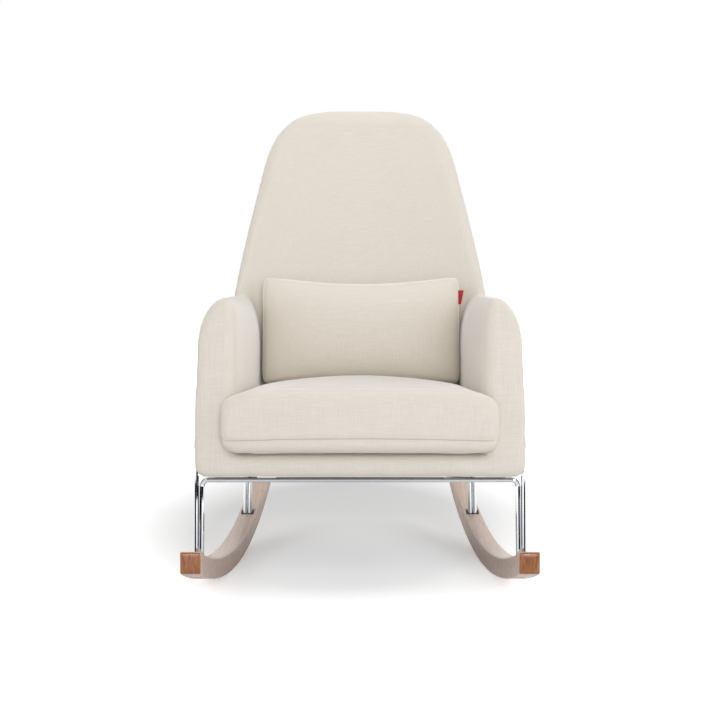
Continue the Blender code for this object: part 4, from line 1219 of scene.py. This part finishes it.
@dataclass
class SeatPlatform:
    """Cloth-covered deck under the cushion and the dust cloth under the frame."""

    lines: ChairLines
    cloth: WovenLinen
    dust_cloth: RibbedWeave
    book: FinishBook
    deck_thickness: float = 0.012
    deck_side_gap: float = 0.0016
    deck_rear_gap: float = 0.005
    deck_edge: float = 0.004
    # heights and insets, as shares of the thickness and of the edge
    deck_profile: tuple[Point, ...] = ((-1.0, 0.4), (-0.8, 0.0), (-0.35, 0.0), (-0.1, 0.3), (0.0, 1.0))
    across_steps: int = 30
    side_steps: int = 20
    panel_front_depth: float = 0.0862
    dust_front_depth: float = 0.088
    dust_half_front: float = 0.312
    dust_half_rear: float = 0.2745
    dust_rear_depth: float = 0.696
    dust_sag: float = 0.0004
    dust_lift: float = 0.0005
    dust_grid: tuple[int, int] = (24, 24)

    def deck_outline(self, inset: float) -> Outline:
        """Plan of the deck in the seat's frame.

        Args:
            inset: How far it is moved inwards.

        Returns:
            Points of the outline.
        """
        lines = self.lines
        gap = self.deck_side_gap + inset
        front = self.panel_front_depth - lines.arm_front_depth + inset
        front_half = lines.arm_inner(self.panel_front_depth) - gap
        rear = lines.back_front(lines.arm_inner(lines.back_front_depth), lines.seat_height)
        rear_half = lines.arm_inner(rear) - gap
        points = [(x, front) for x in spaced(-front_half, front_half, self.across_steps)]
        start = self.panel_front_depth + inset
        end = rear - self.deck_rear_gap - inset
        side = []
        for depth in spaced(start, end, self.side_steps)[1:-1]:
            side.append((lines.arm_inner(depth) - gap, depth - lines.arm_front_depth))
        points += side
        for x in spaced(rear_half, -rear_half, self.across_steps):
            depth = lines.back_front(x, lines.seat_height) - self.deck_rear_gap - inset
            points.append((x, depth - lines.arm_front_depth))
        return points + [(-x, y) for x, y in reversed(side)]

    def deck(self) -> bpy.types.Object:
        """Build the deck, a flat pad with soft edges.

        Returns:
            The deck.
        """
        rings = []
        for z, inset in self.deck_profile:
            outline = self.deck_outline(self.deck_edge * inset)
            rings.append([Vector((x, y, z * self.deck_thickness)) for x, y in outline])
        deck = lofted("seat_deck_cover", rings)
        deck.data.transform(self.lines.seat_frame())
        return deck

    def dust_sheet(self) -> tuple[bpy.types.Object, tuple[float, float], float]:
        """Build the dust cloth, one thin sheet stapled flat under the frame.

        Returns:
            The sheet, the rectangle that it was cut from and its flat area.
        """
        lines = self.lines
        columns, rows = self.dust_grid
        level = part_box("dust_cover")[0].z + self.dust_lift
        points = []
        for j in range(rows + 1):
            depth = mix(self.dust_front_depth, self.dust_rear_depth, j / rows)
            half = mix(self.dust_half_front, self.dust_half_rear, j / rows)
            for i in range(columns + 1):
                across = 2 * i / columns - 1
                sag = self.dust_sag * (1 - across**2) * (1 - (2 * j / rows - 1) ** 2)
                points.append((across * half, lines.y(depth), level - sag))
        faces = [(a, d, c, b) for a, b, c, d in grid_faces(columns, rows)]
        length = self.dust_rear_depth - self.dust_front_depth
        area = length * (self.dust_half_front + self.dust_half_rear)
        return new_object("dust_cloth", points, faces), (2 * self.dust_half_front, length), area

    def build(self) -> list[bpy.types.Object]:
        """Build and dress the deck and the dust cloth.

        Returns:
            Both pieces.
        """
        deck = self.deck()
        self.book.dress(deck, self.cloth)
        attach(deck, Body.CHAIR.value)
        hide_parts("seat_deck")
        sheet, flat, area = self.dust_sheet()
        self.book.dress(sheet, self.dust_cloth)
        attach(sheet, Body.CHAIR.value)
        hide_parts("dust_cover")
        return [deck, sheet]


@dataclass
class SeatCushion:
    """Loose foam cushion that swells in front of the arms, with a seam low round its edge."""

    lines: ChairLines
    cloth: WovenLinen
    # darker linen for the seam cord: painted shade of the sunk seam line
    shade: WovenLinen
    book: FinishBook
    front_depth: float = 0.008
    ear_half: float = 0.293
    side_height: float = 0.1222
    crown: float = 0.0268
    crown_front: float = 0.52
    crown_rear: float = 0.30
    side_rise: float = 0.0055
    rise_span: tuple[float, float] = (0.01, 0.05)  # start and run of the rise
    rise_loss: float = 0.6
    loss_span: tuple[float, float] = (0.28, 0.15)
    crown_run: float = 0.210
    crown_fall: float = 1.4  # in crown runs, where the crown begins to fall
    crown_edge: float = 0.95
    crown_steps: int = 16
    crown_powers: tuple[float, float] = (16.0, 1.9)
    top_corners: tuple[float, float] = (0.040, 0.013)
    top_corner_run: float = 0.10
    top_corner_turn: float = 76.0
    low_corner: tuple[float, float] = (0.036, 0.030)
    low_steps: int = 12
    deck_gap: float = 0.0006
    nose: float = 0.034
    nose_run: float = 0.8
    nose_top: float = 0.36
    nose_side: float = 0.30
    nose_low: float = 0.55
    ear_inset: float = 0.12
    neck_inset: float = 0.05
    neck_gap: float = 0.0008
    heel_run: float = 0.6
    heel_inset: float = 0.75
    side_gap: float = 0.0025
    rear_gap: float = 0.006
    shrink: float = 0.003
    regain: float = 0.8
    voxel: float = 0.0068
    pressure: float = 3.5
    cap: float = 0.010
    swell_share: float = 0.4
    seam_height: float = 0.0274
    seam_lift: float = 0.006
    seam_rear: float = 0.40
    seam_radius: float = 0.0008
    seam_depth: float = 0.0024
    seam_reach: float = 0.0066
    seam_proud: float = 0.0005
    seam_steps: tuple[int, int, int] = (90, 12, 29)  # across the front, round a corner, along a side
    ray_starts: tuple[float, float] = (0.2, 0.4)  # ahead of the cushion and beside it

    def section(self, depth: float, half: float, inset: float) -> Outline:
        """Upright outline across the cushion: a crowned top and round edges.

        Args:
            depth: Depth of the outline.
            half: Half width there.
            inset: How far it is drawn in near the ends.

        Returns:
            Points of the outline in the seat's frame.
        """
        forward = ease(depth / self.crown_run)
        along = mix(self.crown_front, 1.0, forward)
        along *= mix(1.0, self.crown_rear, ease(depth / self.crown_run - self.crown_fall))
        power = mix(*self.crown_powers, forward)
        low = self.deck_gap + inset * self.nose_low
        rise_start, rise_run = self.rise_span
        loss_start, loss_run = self.loss_span
        rise = self.side_rise * ease((depth - rise_start) / rise_run)
        rise *= 1 - self.rise_loss * ease((depth - loss_start) / loss_run)
        side_top = self.side_height + rise - inset * self.nose_top
        half -= inset * self.nose_side
        corner = mix(*self.top_corners, ease(depth / self.top_corner_run))
        wide, tall = self.low_corner
        flat = half - wide
        points = [(flat * i / self.low_steps, low) for i in range(self.low_steps)]
        points += arc((flat, low + tall), (wide, tall), -90, 0, 8)
        flat = half - corner
        points += arc((flat, side_top - corner), (corner, corner), 0, self.top_corner_turn, 8)
        for i in range(1, self.crown_steps + 1):
            share = self.crown_edge * (1 - i / self.crown_steps)
            points.append((flat * share, side_top + (self.crown * along - rise) * (1 - share**power)))
        return with_mirror(points)

    def guide(self) -> bpy.types.Object:
        """Smooth shell of the whole space that the cushion may fill.

        Returns:
            The shell in the part's frame.
        """
        lines = self.lines
        neck = lines.arm_front_depth
        ear_end = neck - self.neck_gap - math.sin(lines.seat_pitch) * (self.side_height + self.crown)
        rear = lines.back_front(lines.arm_inner(lines.back_front_depth), lines.seat_height) - self.rear_gap
        bow = lines.back_front(0, lines.seat_height) - self.rear_gap - rear

        def side_half(depth: float) -> float:
            """Half width between the arms."""
            return lines.arm_inner(depth) - self.side_gap

        stations = []
        for turn in quarter_turn(8):
            depth = self.front_depth + self.nose * self.nose_run * (1 - math.cos(turn))
            stations.append((depth, self.ear_half, self.nose * (1 - math.sin(turn))))
        stations.append((ear_end, self.ear_half, self.nose * self.ear_inset))
        stations.append((neck, side_half(neck), self.nose * self.neck_inset))
        for depth in spaced(neck, rear - self.nose * self.heel_run, 25)[1:]:
            stations.append((depth, side_half(depth), 0.0))
        for turn in quarter_turn(6)[1:]:
            depth = rear - self.nose * self.heel_run * (1 - math.sin(turn))
            stations.append((depth, side_half(depth), self.nose * self.heel_inset * (1 - math.cos(turn))))
        rings = []
        for depth, half, inset in stations:
            ring = []
            for x, z in self.section(depth, half, inset):
                bend = ease((depth - neck) / (rear - neck)) * max(0.0, 1 - (x / side_half(depth)) ** 2)
                ring.append(Vector((x, depth - neck + bow * bend, z)))
            rings.append(ring)
        shell = lofted("cushion_guide", rings)
        shell.data.transform(lines.seat_frame())
        return shell

    def seam_path(self, tree: BVHTree) -> Path:
        """Path of the low seam across the front and along both sides.

        Args:
            tree: Search tree of the cushion.

        Returns:
            Points on the cushion from the rear of one side to the rear of the other.
        """
        place = self.lines.seat_frame()
        turn = place.to_3x3()
        ahead, beside = self.ray_starts
        across_steps, corner_steps, side_steps = self.seam_steps
        flat = self.ear_half - self.nose
        round_y = self.front_depth + self.nose - self.lines.arm_front_depth
        front: Rays = []
        for x in spaced(-flat, flat, across_steps):
            height = self.seam_height + self.seam_lift * (1 - (x / self.ear_half) ** 2)
            front.append((Vector((x, -ahead, height)), Vector((0, 1, 0))))
        height = self.seam_height + self.seam_lift * (1 - (flat / self.ear_half) ** 2)
        side: Rays = []
        for angle in quarter_turn(corner_steps)[1:]:
            out = Vector((math.sin(angle), -math.cos(angle), 0))
            side.append((Vector((flat, round_y, height)) + out * ahead, -out))
        for y in spaced(round_y, self.seam_rear, side_steps)[1:]:
            side.append((Vector((beside, y, height)), Vector((-1, 0, 0))))
        flip = Matrix.Diagonal((-1, 1, 1))
        mirrored = [(flip @ start, flip @ direction) for start, direction in reversed(side)]
        path = []
        for start, direction in mirrored + front + side:
            hit = tree.ray_cast(place @ start, turn @ direction)[0]
            if hit is not None:
                path.append(hit)
        return path

    def build(self) -> list[bpy.types.Object]:
        """Build, swell and dress the cushion and its seam.

        Returns:
            The cushion and its seam.
        """
        shell = self.guide()
        guide = search_tree(shell)
        shell.name = "seat_cushion_cover"
        remeshed(shell, self.voxel)
        relax(shell, 3)
        set_coords(shell, coords(shell) - normals(shell) * self.shrink)
        inflate(shell, self.pressure, self.cap, self.swell_share)
        set_coords(shell, coords(shell) + normals(shell) * self.shrink * self.regain)
        keep_within(shell, guide, 0.0)
        relax(shell, 2)
        subdivide(shell)
        path = self.seam_path(search_tree(shell))
        press_seam(shell, path, self.seam_depth, self.seam_reach)
        path = eased_path(search_tree(shell), path, self.seam_proud)
        seam = tube("seat_cushion_seam", path, self.seam_radius)
        # the seam cord takes the darker linen, painted shade of the seam line
        for piece, finish in ((shell, self.cloth), (seam, self.shade)):
            self.book.dress(piece, finish)
            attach(piece, Body.CUSHION.value)
        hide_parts("seat_cushion")
        return [shell, seam]


@dataclass
class LumbarPillow:
    """Loose knife-edged pillow with a plain folded tape in its side seam."""

    cloth: WovenLinen
    # lighter linen for the seam cord: painted highlight of the light rim along the pillow's edge
    edge: WovenLinen
    tape: RibbedWeave
    book: FinishBook
    width: float = 0.476
    lean_right: float = 0.0026
    height: float = 0.256
    thickness: float = 0.118
    sag: float = 0.012
    top_lift: float = 0.0105
    side_sag: float = 0.0015
    corner: float = 0.0080
    corner_power: int = 9
    front_swell: Swell = ((3.8, 0.5), (3.4, 0.5))
    rear_swell: Swell = ((2.6, 0.55), (2.4, 0.6))
    tilt: float = math.radians(9.0)
    seam: float = 0.004
    grid: tuple[int, int] = (84, 48)
    edge_crowding: float = 0.25
    first_plump: float = 0.90
    pressure: float = 4.0
    cap: float = 0.012
    swell_share: float = 0.7
    proud: float = 0.0005
    seam_radius: float = 0.0020
    tape_thickness: float = 0.0006
    tape_lift: float = 0.0165
    tape_out: float = 0.003
    tape_lean: float = 0.20
    tape_bend: float = 0.0011
    tape_pinch: float = 0.6
    tape_sewn_in: float = 0.008
    tape_flat: float = 0.4  # share of its reach that lies flat
    tape_fold: tuple[float, ...] = (0.0, 0.8, 1.57, 2.34, 3.14)  # angles round the fold
    tape_rows: int = 9

    def place(self) -> Matrix:
        """Frame of the pillow, from the middle of the box of its solid.

        Returns:
            The frame.
        """
        low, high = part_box("lumbar_pillow")
        middle = (low + high) / 2
        middle.x += self.lean_right
        return Matrix.Translation(middle) @ Matrix.Rotation(-self.tilt, 4, "X")

    def panel_point(self, across: float, up: float, face: float, plump: float) -> Vector:
        """Point of one of the pillow's two panels.

        Args:
            across: Place across it, from -1 to 1.
            up: Place up it, from -1 to 1.
            face: -1 for the front panel, 1 for the rear one.
            plump: Share of the full thickness.

        Returns:
            The point in the pillow's frame.
        """
        pull = self.corner * abs(across * up) ** self.corner_power
        lift = self.top_lift * (up > 0) * up * across * across
        tall = self.height / 2 - self.sag * (1 - across * across) - pull
        wide = self.width / 2 - self.side_sag * (1 - up * up) - pull
        sideways, upright = self.front_swell if face < 0 else self.rear_swell
        full = (1 - abs(across) ** sideways[0]) ** sideways[1] * (1 - abs(up) ** upright[0]) ** upright[1]
        depth = (self.seam + (self.thickness * plump - self.seam) * full) / 2
        return Vector((across * wide, face * depth, up * tall + lift))

    def shell(self, name: str, plump: float) -> bpy.types.Object:
        """Two panels sewn together round their edges.

        Args:
            name: Name of the object.
            plump: Share of the full thickness.

        Returns:
            The closed shell in the part's frame.
        """
        columns, rows = self.grid

        def spread(i: int, count: int) -> float:
            """Place from -1 to 1, closer together near the edges.

            Args:
                i: Number of the place.
                count: Number of the last place.

            Returns:
                The place.
            """
            share = 2 * i / count - 1
            crowd = self.edge_crowding
            return (1 - crowd) * share + crowd * math.sin(math.pi / 2 * share)

        points = []
        index = {}
        for face in (-1.0, 1.0):
            for j in range(rows + 1):
                for i in range(columns + 1):
                    index[face, i, j] = len(points)
                    points.append(self.panel_point(spread(i, columns), spread(j, rows), face, plump))
        faces = []
        for j in range(rows):
            for i in range(columns):
                quad = [(i, j), (i + 1, j), (i + 1, j + 1), (i, j + 1)]
                faces.append([index[-1.0, a, b] for a, b in quad])
                faces.append([index[1.0, a, b] for a, b in reversed(quad)])
        rim = self.rim()
        for (a, b), (c, d) in zip(rim, rim[1:] + rim[:1]):
            faces.append([index[-1.0, c, d], index[-1.0, a, b], index[1.0, a, b], index[1.0, c, d]])
        obj = new_object(name, points, faces)
        obj.data.transform(self.place())
        return obj

    def rim(self) -> list[tuple[int, int]]:
        """Grid places round the edge of a panel.

        Returns:
            Column and row of each place, in order.
        """
        columns, rows = self.grid
        path = [(i, 0) for i in range(columns)]
        path += [(columns, j) for j in range(rows)]
        path += [(i, rows) for i in range(columns, 0, -1)]
        path += [(0, j) for j in range(rows, 0, -1)]
        return path

    def folded_tape(self) -> bpy.types.Object:
        """Plain tape folded once, with its two ends sewn in the side seam.

        Returns:
            The tape.
        """
        low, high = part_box("pillow_tape_tab")
        middle = (low + high) / 2
        half = (high.z - low.z) / 2
        bend = self.tape_bend
        pinch = bend * self.tape_pinch
        sewn = low.x - self.tape_sewn_in
        flat = low.x + (high.x - low.x) * self.tape_flat
        fold = [(high.x - bend + bend * math.sin(a), bend * math.cos(a)) for a in self.tape_fold]
        profile = [(sewn, pinch), (flat, bend), *fold, (flat, -bend), (sewn, -pinch)]
        points = []
        for up in spaced(-half, half, self.tape_rows - 1):
            lean = up * math.tan(self.tilt)
            out = self.tape_out + up * self.tape_lean
            for x, y in profile:
                points.append((x + out, middle.y + y + lean, middle.z + up + self.tape_lift))
        tape = new_object("folded_tape", points, grid_faces(len(profile) - 1, self.tape_rows - 1))
        solid = tape.modifiers.new("thickness", "SOLIDIFY")
        solid.thickness = self.tape_thickness
        solid.offset = 0.0
        apply_modifiers(tape)
        return tape

    def build(self) -> list[bpy.types.Object]:
        """Build, swell and dress the pillow, its seam and its tape.

        Returns:
            The pillow, its seam and its tape.
        """
        shell = self.shell("pillow_guide", 1.0)
        guide = search_tree(shell)
        bpy.data.objects.remove(shell, do_unlink=True)
        pillow = self.shell("lumbar_pillow_cover", self.first_plump)
        columns, rows = self.grid
        shift = (columns + 1) * (rows + 1)
        edge = [j * (columns + 1) + i for i, j in self.rim()]
        inflate(pillow, self.pressure, self.cap, self.swell_share, edge + [k + shift for k in edge])
        keep_within(pillow, guide, self.proud)
        points = coords(pillow)
        path = [Vector((points[k] + points[k + shift]) / 2) for k in edge]
        seam = tube("lumbar_pillow_seam", path, self.seam_radius, closed=True)
        tape = self.folded_tape()
        for piece, finish, slot in (
            (pillow, self.cloth, Slot.LINEN),
            # seam cord in the lighter linen: painted highlight of the pillow's edge
            (seam, self.edge, Slot.LINEN),
            (tape, self.tape, Slot.TAPE),
        ):
            self.book.dress(piece, finish)
            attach(piece, Body.PILLOW.value)
        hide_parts("lumbar_pillow")
        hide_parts("pillow_tape_tab")
        return [pillow, seam, tape]


# Hard pieces


@dataclass
class RockerEnds:
    """Rockers with the edges of their end faces rounded over, as sanding leaves them."""

    walnut: BentWalnut
    book: FinishBook
    round_over: float = 0.009
    chamfer: float = 0.003
    slack: float = 1e-4
    weld: float = 1e-5
    crease: float = math.radians(30)
    steps: int = 6

    def round_end(self, grid: bmesh.types.BMesh, tip: float, inward: float) -> None:
        """Swap the chamfer round one end face for a round-over.

        Args:
            grid: Mesh of the rocker.
            tip: Y of the end face.
            inward: Direction along Y from the end face into the rocker.
        """
        reach = self.chamfer + self.slack
        cap = [f for f in grid.faces if all(abs(v.co.y - tip) < reach for v in f.verts)]
        bmesh.ops.delete(grid, geom=cap, context="FACES")
        edges = [e for e in grid.edges if e.is_boundary and abs(e.verts[0].co.y - tip) < reach]
        loop = {v for e in edges for v in e.verts}
        middle = sum((v.co for v in loop), Vector()) / len(loop)
        half = max(abs(v.co.x - middle.x) for v in loop)
        for vert in loop:
            vert.co.y = tip + inward * self.round_over
        shrunk = 1.0
        for turn in quarter_turn(self.steps)[1:]:
            size = 1 - self.round_over * (1 - math.cos(turn)) / half
            grown = bmesh.ops.extrude_edge_only(grid, edges=edges)["geom"]
            edges = [item for item in grown if isinstance(item, bmesh.types.BMEdge)]
            for vert in {v for e in edges for v in e.verts}:
                vert.co.x = middle.x + (vert.co.x - middle.x) * size / shrunk
                vert.co.z = middle.z + (vert.co.z - middle.z) * size / shrunk
                vert.co.y = tip + inward * self.round_over * (1 - math.sin(turn))
            edges = [e for e in edges if e.is_boundary]
            shrunk = size
        bmesh.ops.edgeloop_fill(grid, edges=edges)

    def rounded(self, side: Side) -> bpy.types.Object:
        """Copy one rocker and round its end edges over.

        Args:
            side: Which rocker.

        Returns:
            The finished rocker.
        """
        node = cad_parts["rocker_" + side.name.lower()]
        mesh = node.data.copy()
        mesh.transform(node.matrix_world)
        obj = placed("bent_rocker_" + side.name.lower(), mesh)
        mesh.materials.clear()
        grid = bmesh.new()
        grid.from_mesh(mesh)
        bmesh.ops.remove_doubles(grid, verts=grid.verts, dist=self.weld)
        tips = (min(v.co.y for v in grid.verts), max(v.co.y for v in grid.verts))
        for tip, inward in zip(tips, (1.0, -1.0)):
            self.round_end(grid, tip, inward)
        bmesh.ops.recalc_face_normals(grid, faces=grid.faces)
        for face in grid.faces:
            face.smooth = True
        grid.to_mesh(mesh)
        grid.free()
        obj.data.set_sharp_from_angle(angle=self.crease)
        return obj

    def build(self) -> list[bpy.types.Object]:
        """Build and dress both rockers.

        Returns:
            The rockers.
        """
        pieces = []
        for side in Side:
            obj = self.rounded(side)
            self.book.dress(obj, self.walnut)
            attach(obj, Body.CHAIR.value)
            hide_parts("rocker_" + side.name.lower())
            pieces.append(obj)
        return pieces


@dataclass
class HardPieces:
    """Solids that keep their shape and only take a finish."""

    book: FinishBook
    finishes: dict[str, Finish]

    def build(self) -> list[bpy.types.Object]:
        """Dress each solid by the start of its name.

        Returns:
            The dressed solids.
        """
        dressed = []
        for name, node in sorted(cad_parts.items()):
            for start, finish in self.finishes.items():
                if name.startswith(start):
                    self.book.dress(node, finish)
                    dressed.append(node)
        return dressed


# Studio


@dataclass(frozen=True)
class Lamp:
    """A soft rectangular lamp that faces the chair."""

    name: str
    place: tuple[float, float, float]
    size: tuple[float, float]
    power: float
    glossy_only: bool = False  # strips that only draw edge highlights
    spares_floor: bool = False  # lamps that would wash out the shadow and glare on the lacquer
    aim: tuple[float, float, float] = (0.0, 0.0, 0.5)

    def hang(self, floor: bpy.types.Object) -> None:
        """Put the lamp into the scene.

        Args:
            floor: Floor, which some lamps spare.
        """
        data = bpy.data.lights.new(self.name, "AREA")
        data.shape = "RECTANGLE"
        data.size, data.size_y = self.size
        data.energy = self.power
        obj = placed(self.name, data)
        obj.location = self.place
        beam = Vector(self.aim) - Vector(self.place)
        obj.rotation_euler = beam.to_track_quat("-Z", "Y").to_euler()
        obj.visible_camera = False
        obj.visible_diffuse = not self.glossy_only
        if self.spares_floor:
            obj.visible_glossy = False
            spared = bpy.data.collections.new(self.name + "_spares")
            spared.objects.link(floor)
            spared.collection_objects[0].light_linking.link_state = "EXCLUDE"
            obj.light_linking.receiver_collection = spared


@dataclass
class Studio:
    """Camera, soft lamps, dark flags for the chrome, pale floor with a painted glow and white surround."""

    lens: float = 72.482
    sensor: float = 36.0
    camera_place: tuple[float, float, float] = (0.0, -3.4738, 0.6863)
    camera_pitch: float = math.radians(-3.267)
    world_light: float = 0.37
    lamps: tuple[Lamp, ...] = (
        Lamp("key_softbox", (0.9, -3.8, 2.2), (1.6, 1.6), 26.0),
        Lamp("front_fill", (0.2, -3.3, 0.6), (2.0, 2.0), 27.5),
        Lamp("right_fill", (3.2, -1.0, 1.9), (2.4, 2.4), 40.0),
        Lamp("left_fill", (-3.2, -1.0, 1.9), (2.4, 2.4), 30.0),
        Lamp("top_softbox", (0.0, 0.5, 3.1), (2.2, 2.2), 27.0, spares_floor=True),
        Lamp("rear_fill", (0.4, 4.0, 1.6), (2.4, 2.4), 30.0, spares_floor=True),
        Lamp("edge_strip", (0.0, -3.5, 2.6), (2.8, 0.3), 100.0, glossy_only=True),
    )
    floor_size: float = 24.0
    floor_colour: str = "#F3F3F3"
    # painted glow of the floor in the camera's view: weak behind the chair, strong in front of it
    floor_painted_glow: tuple[float, float] = (0.16, 0.38)
    painted_glow_run: tuple[float, float] = (0.75, -0.15)
    floor_white: float = 0.9
    floor_white_reach: tuple[float, float] = (0.80, 2.0)
    shadow_centre: tuple[float, float, float] = (-0.05, 0.5, 0.0)
    shadow_squash: tuple[float, float, float] = (2.2, 1.0, 1.0)
    flag_colour: str = "#0C0C0D"
    flag_level: float = 0.002
    flags: tuple[tuple[str, Point, Point], ...] = (
        ("left_flag", (-1.6, -2.4), (-0.6, -0.75)),
        ("right_flag", (0.3, -2.4), (1.6, -0.75)),
    )

    def camera(self) -> None:
        """Set up the camera at the photograph's viewing angle."""
        data = bpy.data.cameras.new("camera")
        data.lens = self.lens
        data.sensor_width = self.sensor
        obj = placed("camera", data)
        obj.location = self.camera_place
        obj.rotation_euler = (math.pi / 2 + self.camera_pitch, 0, 0)
        bpy.context.scene.camera = obj

    @staticmethod
    def card(
        name: str, low: Point, high: Point, level: float, finish: str, colour: str
    ) -> tuple[bpy.types.Object, bpy.types.NodeTree, bpy.types.Node]:
        """Lay a level rectangle of one matt colour.

        Args:
            name: Name of the rectangle.
            low: X and Y of one corner.
            high: X and Y of the opposite corner.
            level: Its height.
            finish: Name of its material.
            colour: Colour of its material.

        Returns:
            The rectangle, its node tree and its shader.
        """
        plan = [(low[0], low[1]), (high[0], low[1]), (high[0], high[1]), (low[0], high[1])]
        obj = new_object(name, [(x, y, level) for x, y in plan], [(0, 1, 2, 3)])
        material, tree, shader = new_material(finish)
        set_up(tree, shader, {"Base Color": srgb(colour), "Roughness": 1.0, "Specular IOR Level": 0.0})
        obj.data.materials.append(material)
        return obj, tree, shader

    def flag(self, name: str, low: Point, high: Point) -> None:
        """Lay a dark card on the floor that only mirrors see.

        Args:
            name: Name of the card.
            low: X and Y of one corner.
            high: X and Y of the opposite corner.
        """
        obj, _, _ = self.card(name, low, high, self.flag_level, name + "_black_felt", self.flag_colour)
        obj.visible_camera = False
        obj.visible_diffuse = False
        obj.visible_shadow = False
        obj.visible_transmission = False

    @staticmethod
    def seen(tree: bpy.types.NodeTree) -> bpy.types.NodeSocket:
        """Socket that is 1 where a surface is seen directly, in a mirror or through glass.

        Args:
            tree: Node tree that takes the nodes.

        Returns:
            The socket.
        """
        ray = add_node(tree, "LightPath")
        seen = ray.outputs["Is Camera Ray"]
        for kind in ("Glossy", "Transmission"):
            either = {0: seen, 1: ray.outputs["Is " + kind + " Ray"]}
            seen = add_node(tree, "Math", {"operation": "MAXIMUM"}, either).outputs[0]
        return seen

    def surround(self) -> None:
        """White surround: full white where it is seen directly or in a mirror, soft as light."""
        world = bpy.data.worlds.new("surround")
        bpy.context.scene.world = world
        world.use_nodes = True
        tree = world.node_tree
        span = {"To Min": self.world_light, "To Max": 1.0}
        strength = add_node(tree, "MapRange", span, {"Value": self.seen(tree)})
        shader = tree.nodes["Background"]
        set_up(tree, shader, {"Color": srgb(WHITE)}, {"Strength": strength.outputs["Result"]})

    def floor(self) -> bpy.types.Object:
        """Pale floor that brightens to plain white away from the chair, with a painted glow in the
        camera's view that is weak behind the chair and strong ahead of it, to deepen the shadow behind.

        Returns:
            The floor.
        """
        half = self.floor_size / 2
        obj, tree, shader = self.card(
            "floor", (-half, -half), (half, half), 0.0, "matt_white_floor_with_painted_glow", self.floor_colour
        )
        place = add_node(tree, "TexCoord")
        behind = add_node(tree, "SeparateXYZ", links={0: place.outputs["Object"]})
        # painted glow, weaker towards the rear so the shadow behind the chair stays deep and the floor
        # ahead is lighter
        rear, front = self.painted_glow_run
        weak, strong = self.floor_painted_glow
        lifts = {"From Min": rear, "From Max": front, "To Min": weak, "To Max": strong}
        base = add_node(tree, "MapRange", lifts, {"Value": behind.outputs["Y"]})
        centre = {"operation": "SUBTRACT", 1: self.shadow_centre}
        offset = add_node(tree, "VectorMath", centre, {0: place.outputs["Object"]})
        squash = {"operation": "MULTIPLY", 1: self.shadow_squash}
        oval = add_node(tree, "VectorMath", squash, {0: offset.outputs[0]})
        away = add_node(tree, "VectorMath", {"operation": "LENGTH"}, {0: oval.outputs[0]})
        near, far = self.floor_white_reach
        fade = {"From Min": near, "From Max": far, "To Min": 0.0, "To Max": self.floor_white}
        white = add_node(tree, "MapRange", fade, {"Value": away.outputs["Value"]})
        ray = add_node(tree, "LightPath")
        direct = {0: base.outputs["Result"], 1: ray.outputs["Is Camera Ray"]}
        near_painted_glow = add_node(tree, "Math", {"operation": "MULTIPLY"}, direct)
        summed = {0: white.outputs["Result"], 1: self.seen(tree), 2: near_painted_glow.outputs[0]}
        lift = add_node(tree, "Math", {"operation": "MULTIPLY_ADD"}, summed)
        set_up(tree, shader, {"Emission Color": srgb(WHITE)}, {"Emission Strength": lift.outputs[0]})
        return obj

    def build(self) -> None:
        """Set up camera, surround, floor, lamps and flags."""
        bpy.context.scene.view_settings.view_transform = "Standard"
        self.camera()
        self.surround()
        floor = self.floor()
        for lamp in self.lamps:
            lamp.hang(floor)
        for name, low, high in self.flags:
            self.flag(name, low, high)


def main() -> None:
    """Build the studio and every sub-assembly, and report the pieces."""
    logging.basicConfig(level=logging.INFO, format="%(name)s: %(message)s")
    lines = ChairLines()
    book = FinishBook()
    linen = WovenLinen()
    # darker linen for the cushion's seam cord: painted shade of the seam line
    sunk_seam_painted_shade = WovenLinen("linen_with_painted_seam_shadow", thread="#D0C6B7", slub="#C5BAAA")
    # lighter linen for the pillow's seam cord: painted highlight of its light rim
    rim_highlight_linen = WovenLinen("linen_painted_light_rim", thread="#F7F4EF", slub="#F1EDE6")
    cambric = RibbedWeave("black_spunbond_dust_cloth", "#1E1E1F", "#0F0F10", rib_mm=1.5)
    webbing = RibbedWeave("elastic_jute_webbing", "#5A4F43", "#3B332B", rib_mm=3.0)
    tape = RibbedWeave("plain_red_woven_tape", "#BA1722", "#930F17", rib_mm=1.2, direction="Z")
    steel = BlackenedSteel()
    chrome = PolishedChrome()
    ply = BirchPlywood()
    walnut = BentWalnut(lines.roll_centre())
    finishes: dict[str, Finish] = {
        "rocker_bolt": steel,
        "mount_bolt": steel,
        "foot_block": steel,
        "mount_tab": chrome,
        "front_loop": chrome,
        "rear_loop": chrome,
        "side_loop": chrome,
        "side_panel": ply,
        "back_post": ply,
        "back_rail": ply,
        "seat_rail": ply,
        "corner_block": ply,
        "seat_strap": webbing,
        "back_strap": webbing,
    }
    Studio().build()
    assemblies = [
        RockerEnds(walnut, book),
        HardPieces(book, finishes),
        UpholsteredBody(lines, linen, book),
        SeatPlatform(lines, linen, cambric, book),
        SeatCushion(lines, linen, sunk_seam_painted_shade, book),
        LumbarPillow(linen, rim_highlight_linen, tape, book),
    ]
    for assembly in assemblies:
        for piece in assembly.build():
            LOG.info("%s: %s", type(assembly).__name__, piece.name)


if __name__ == "__main__":
    main()
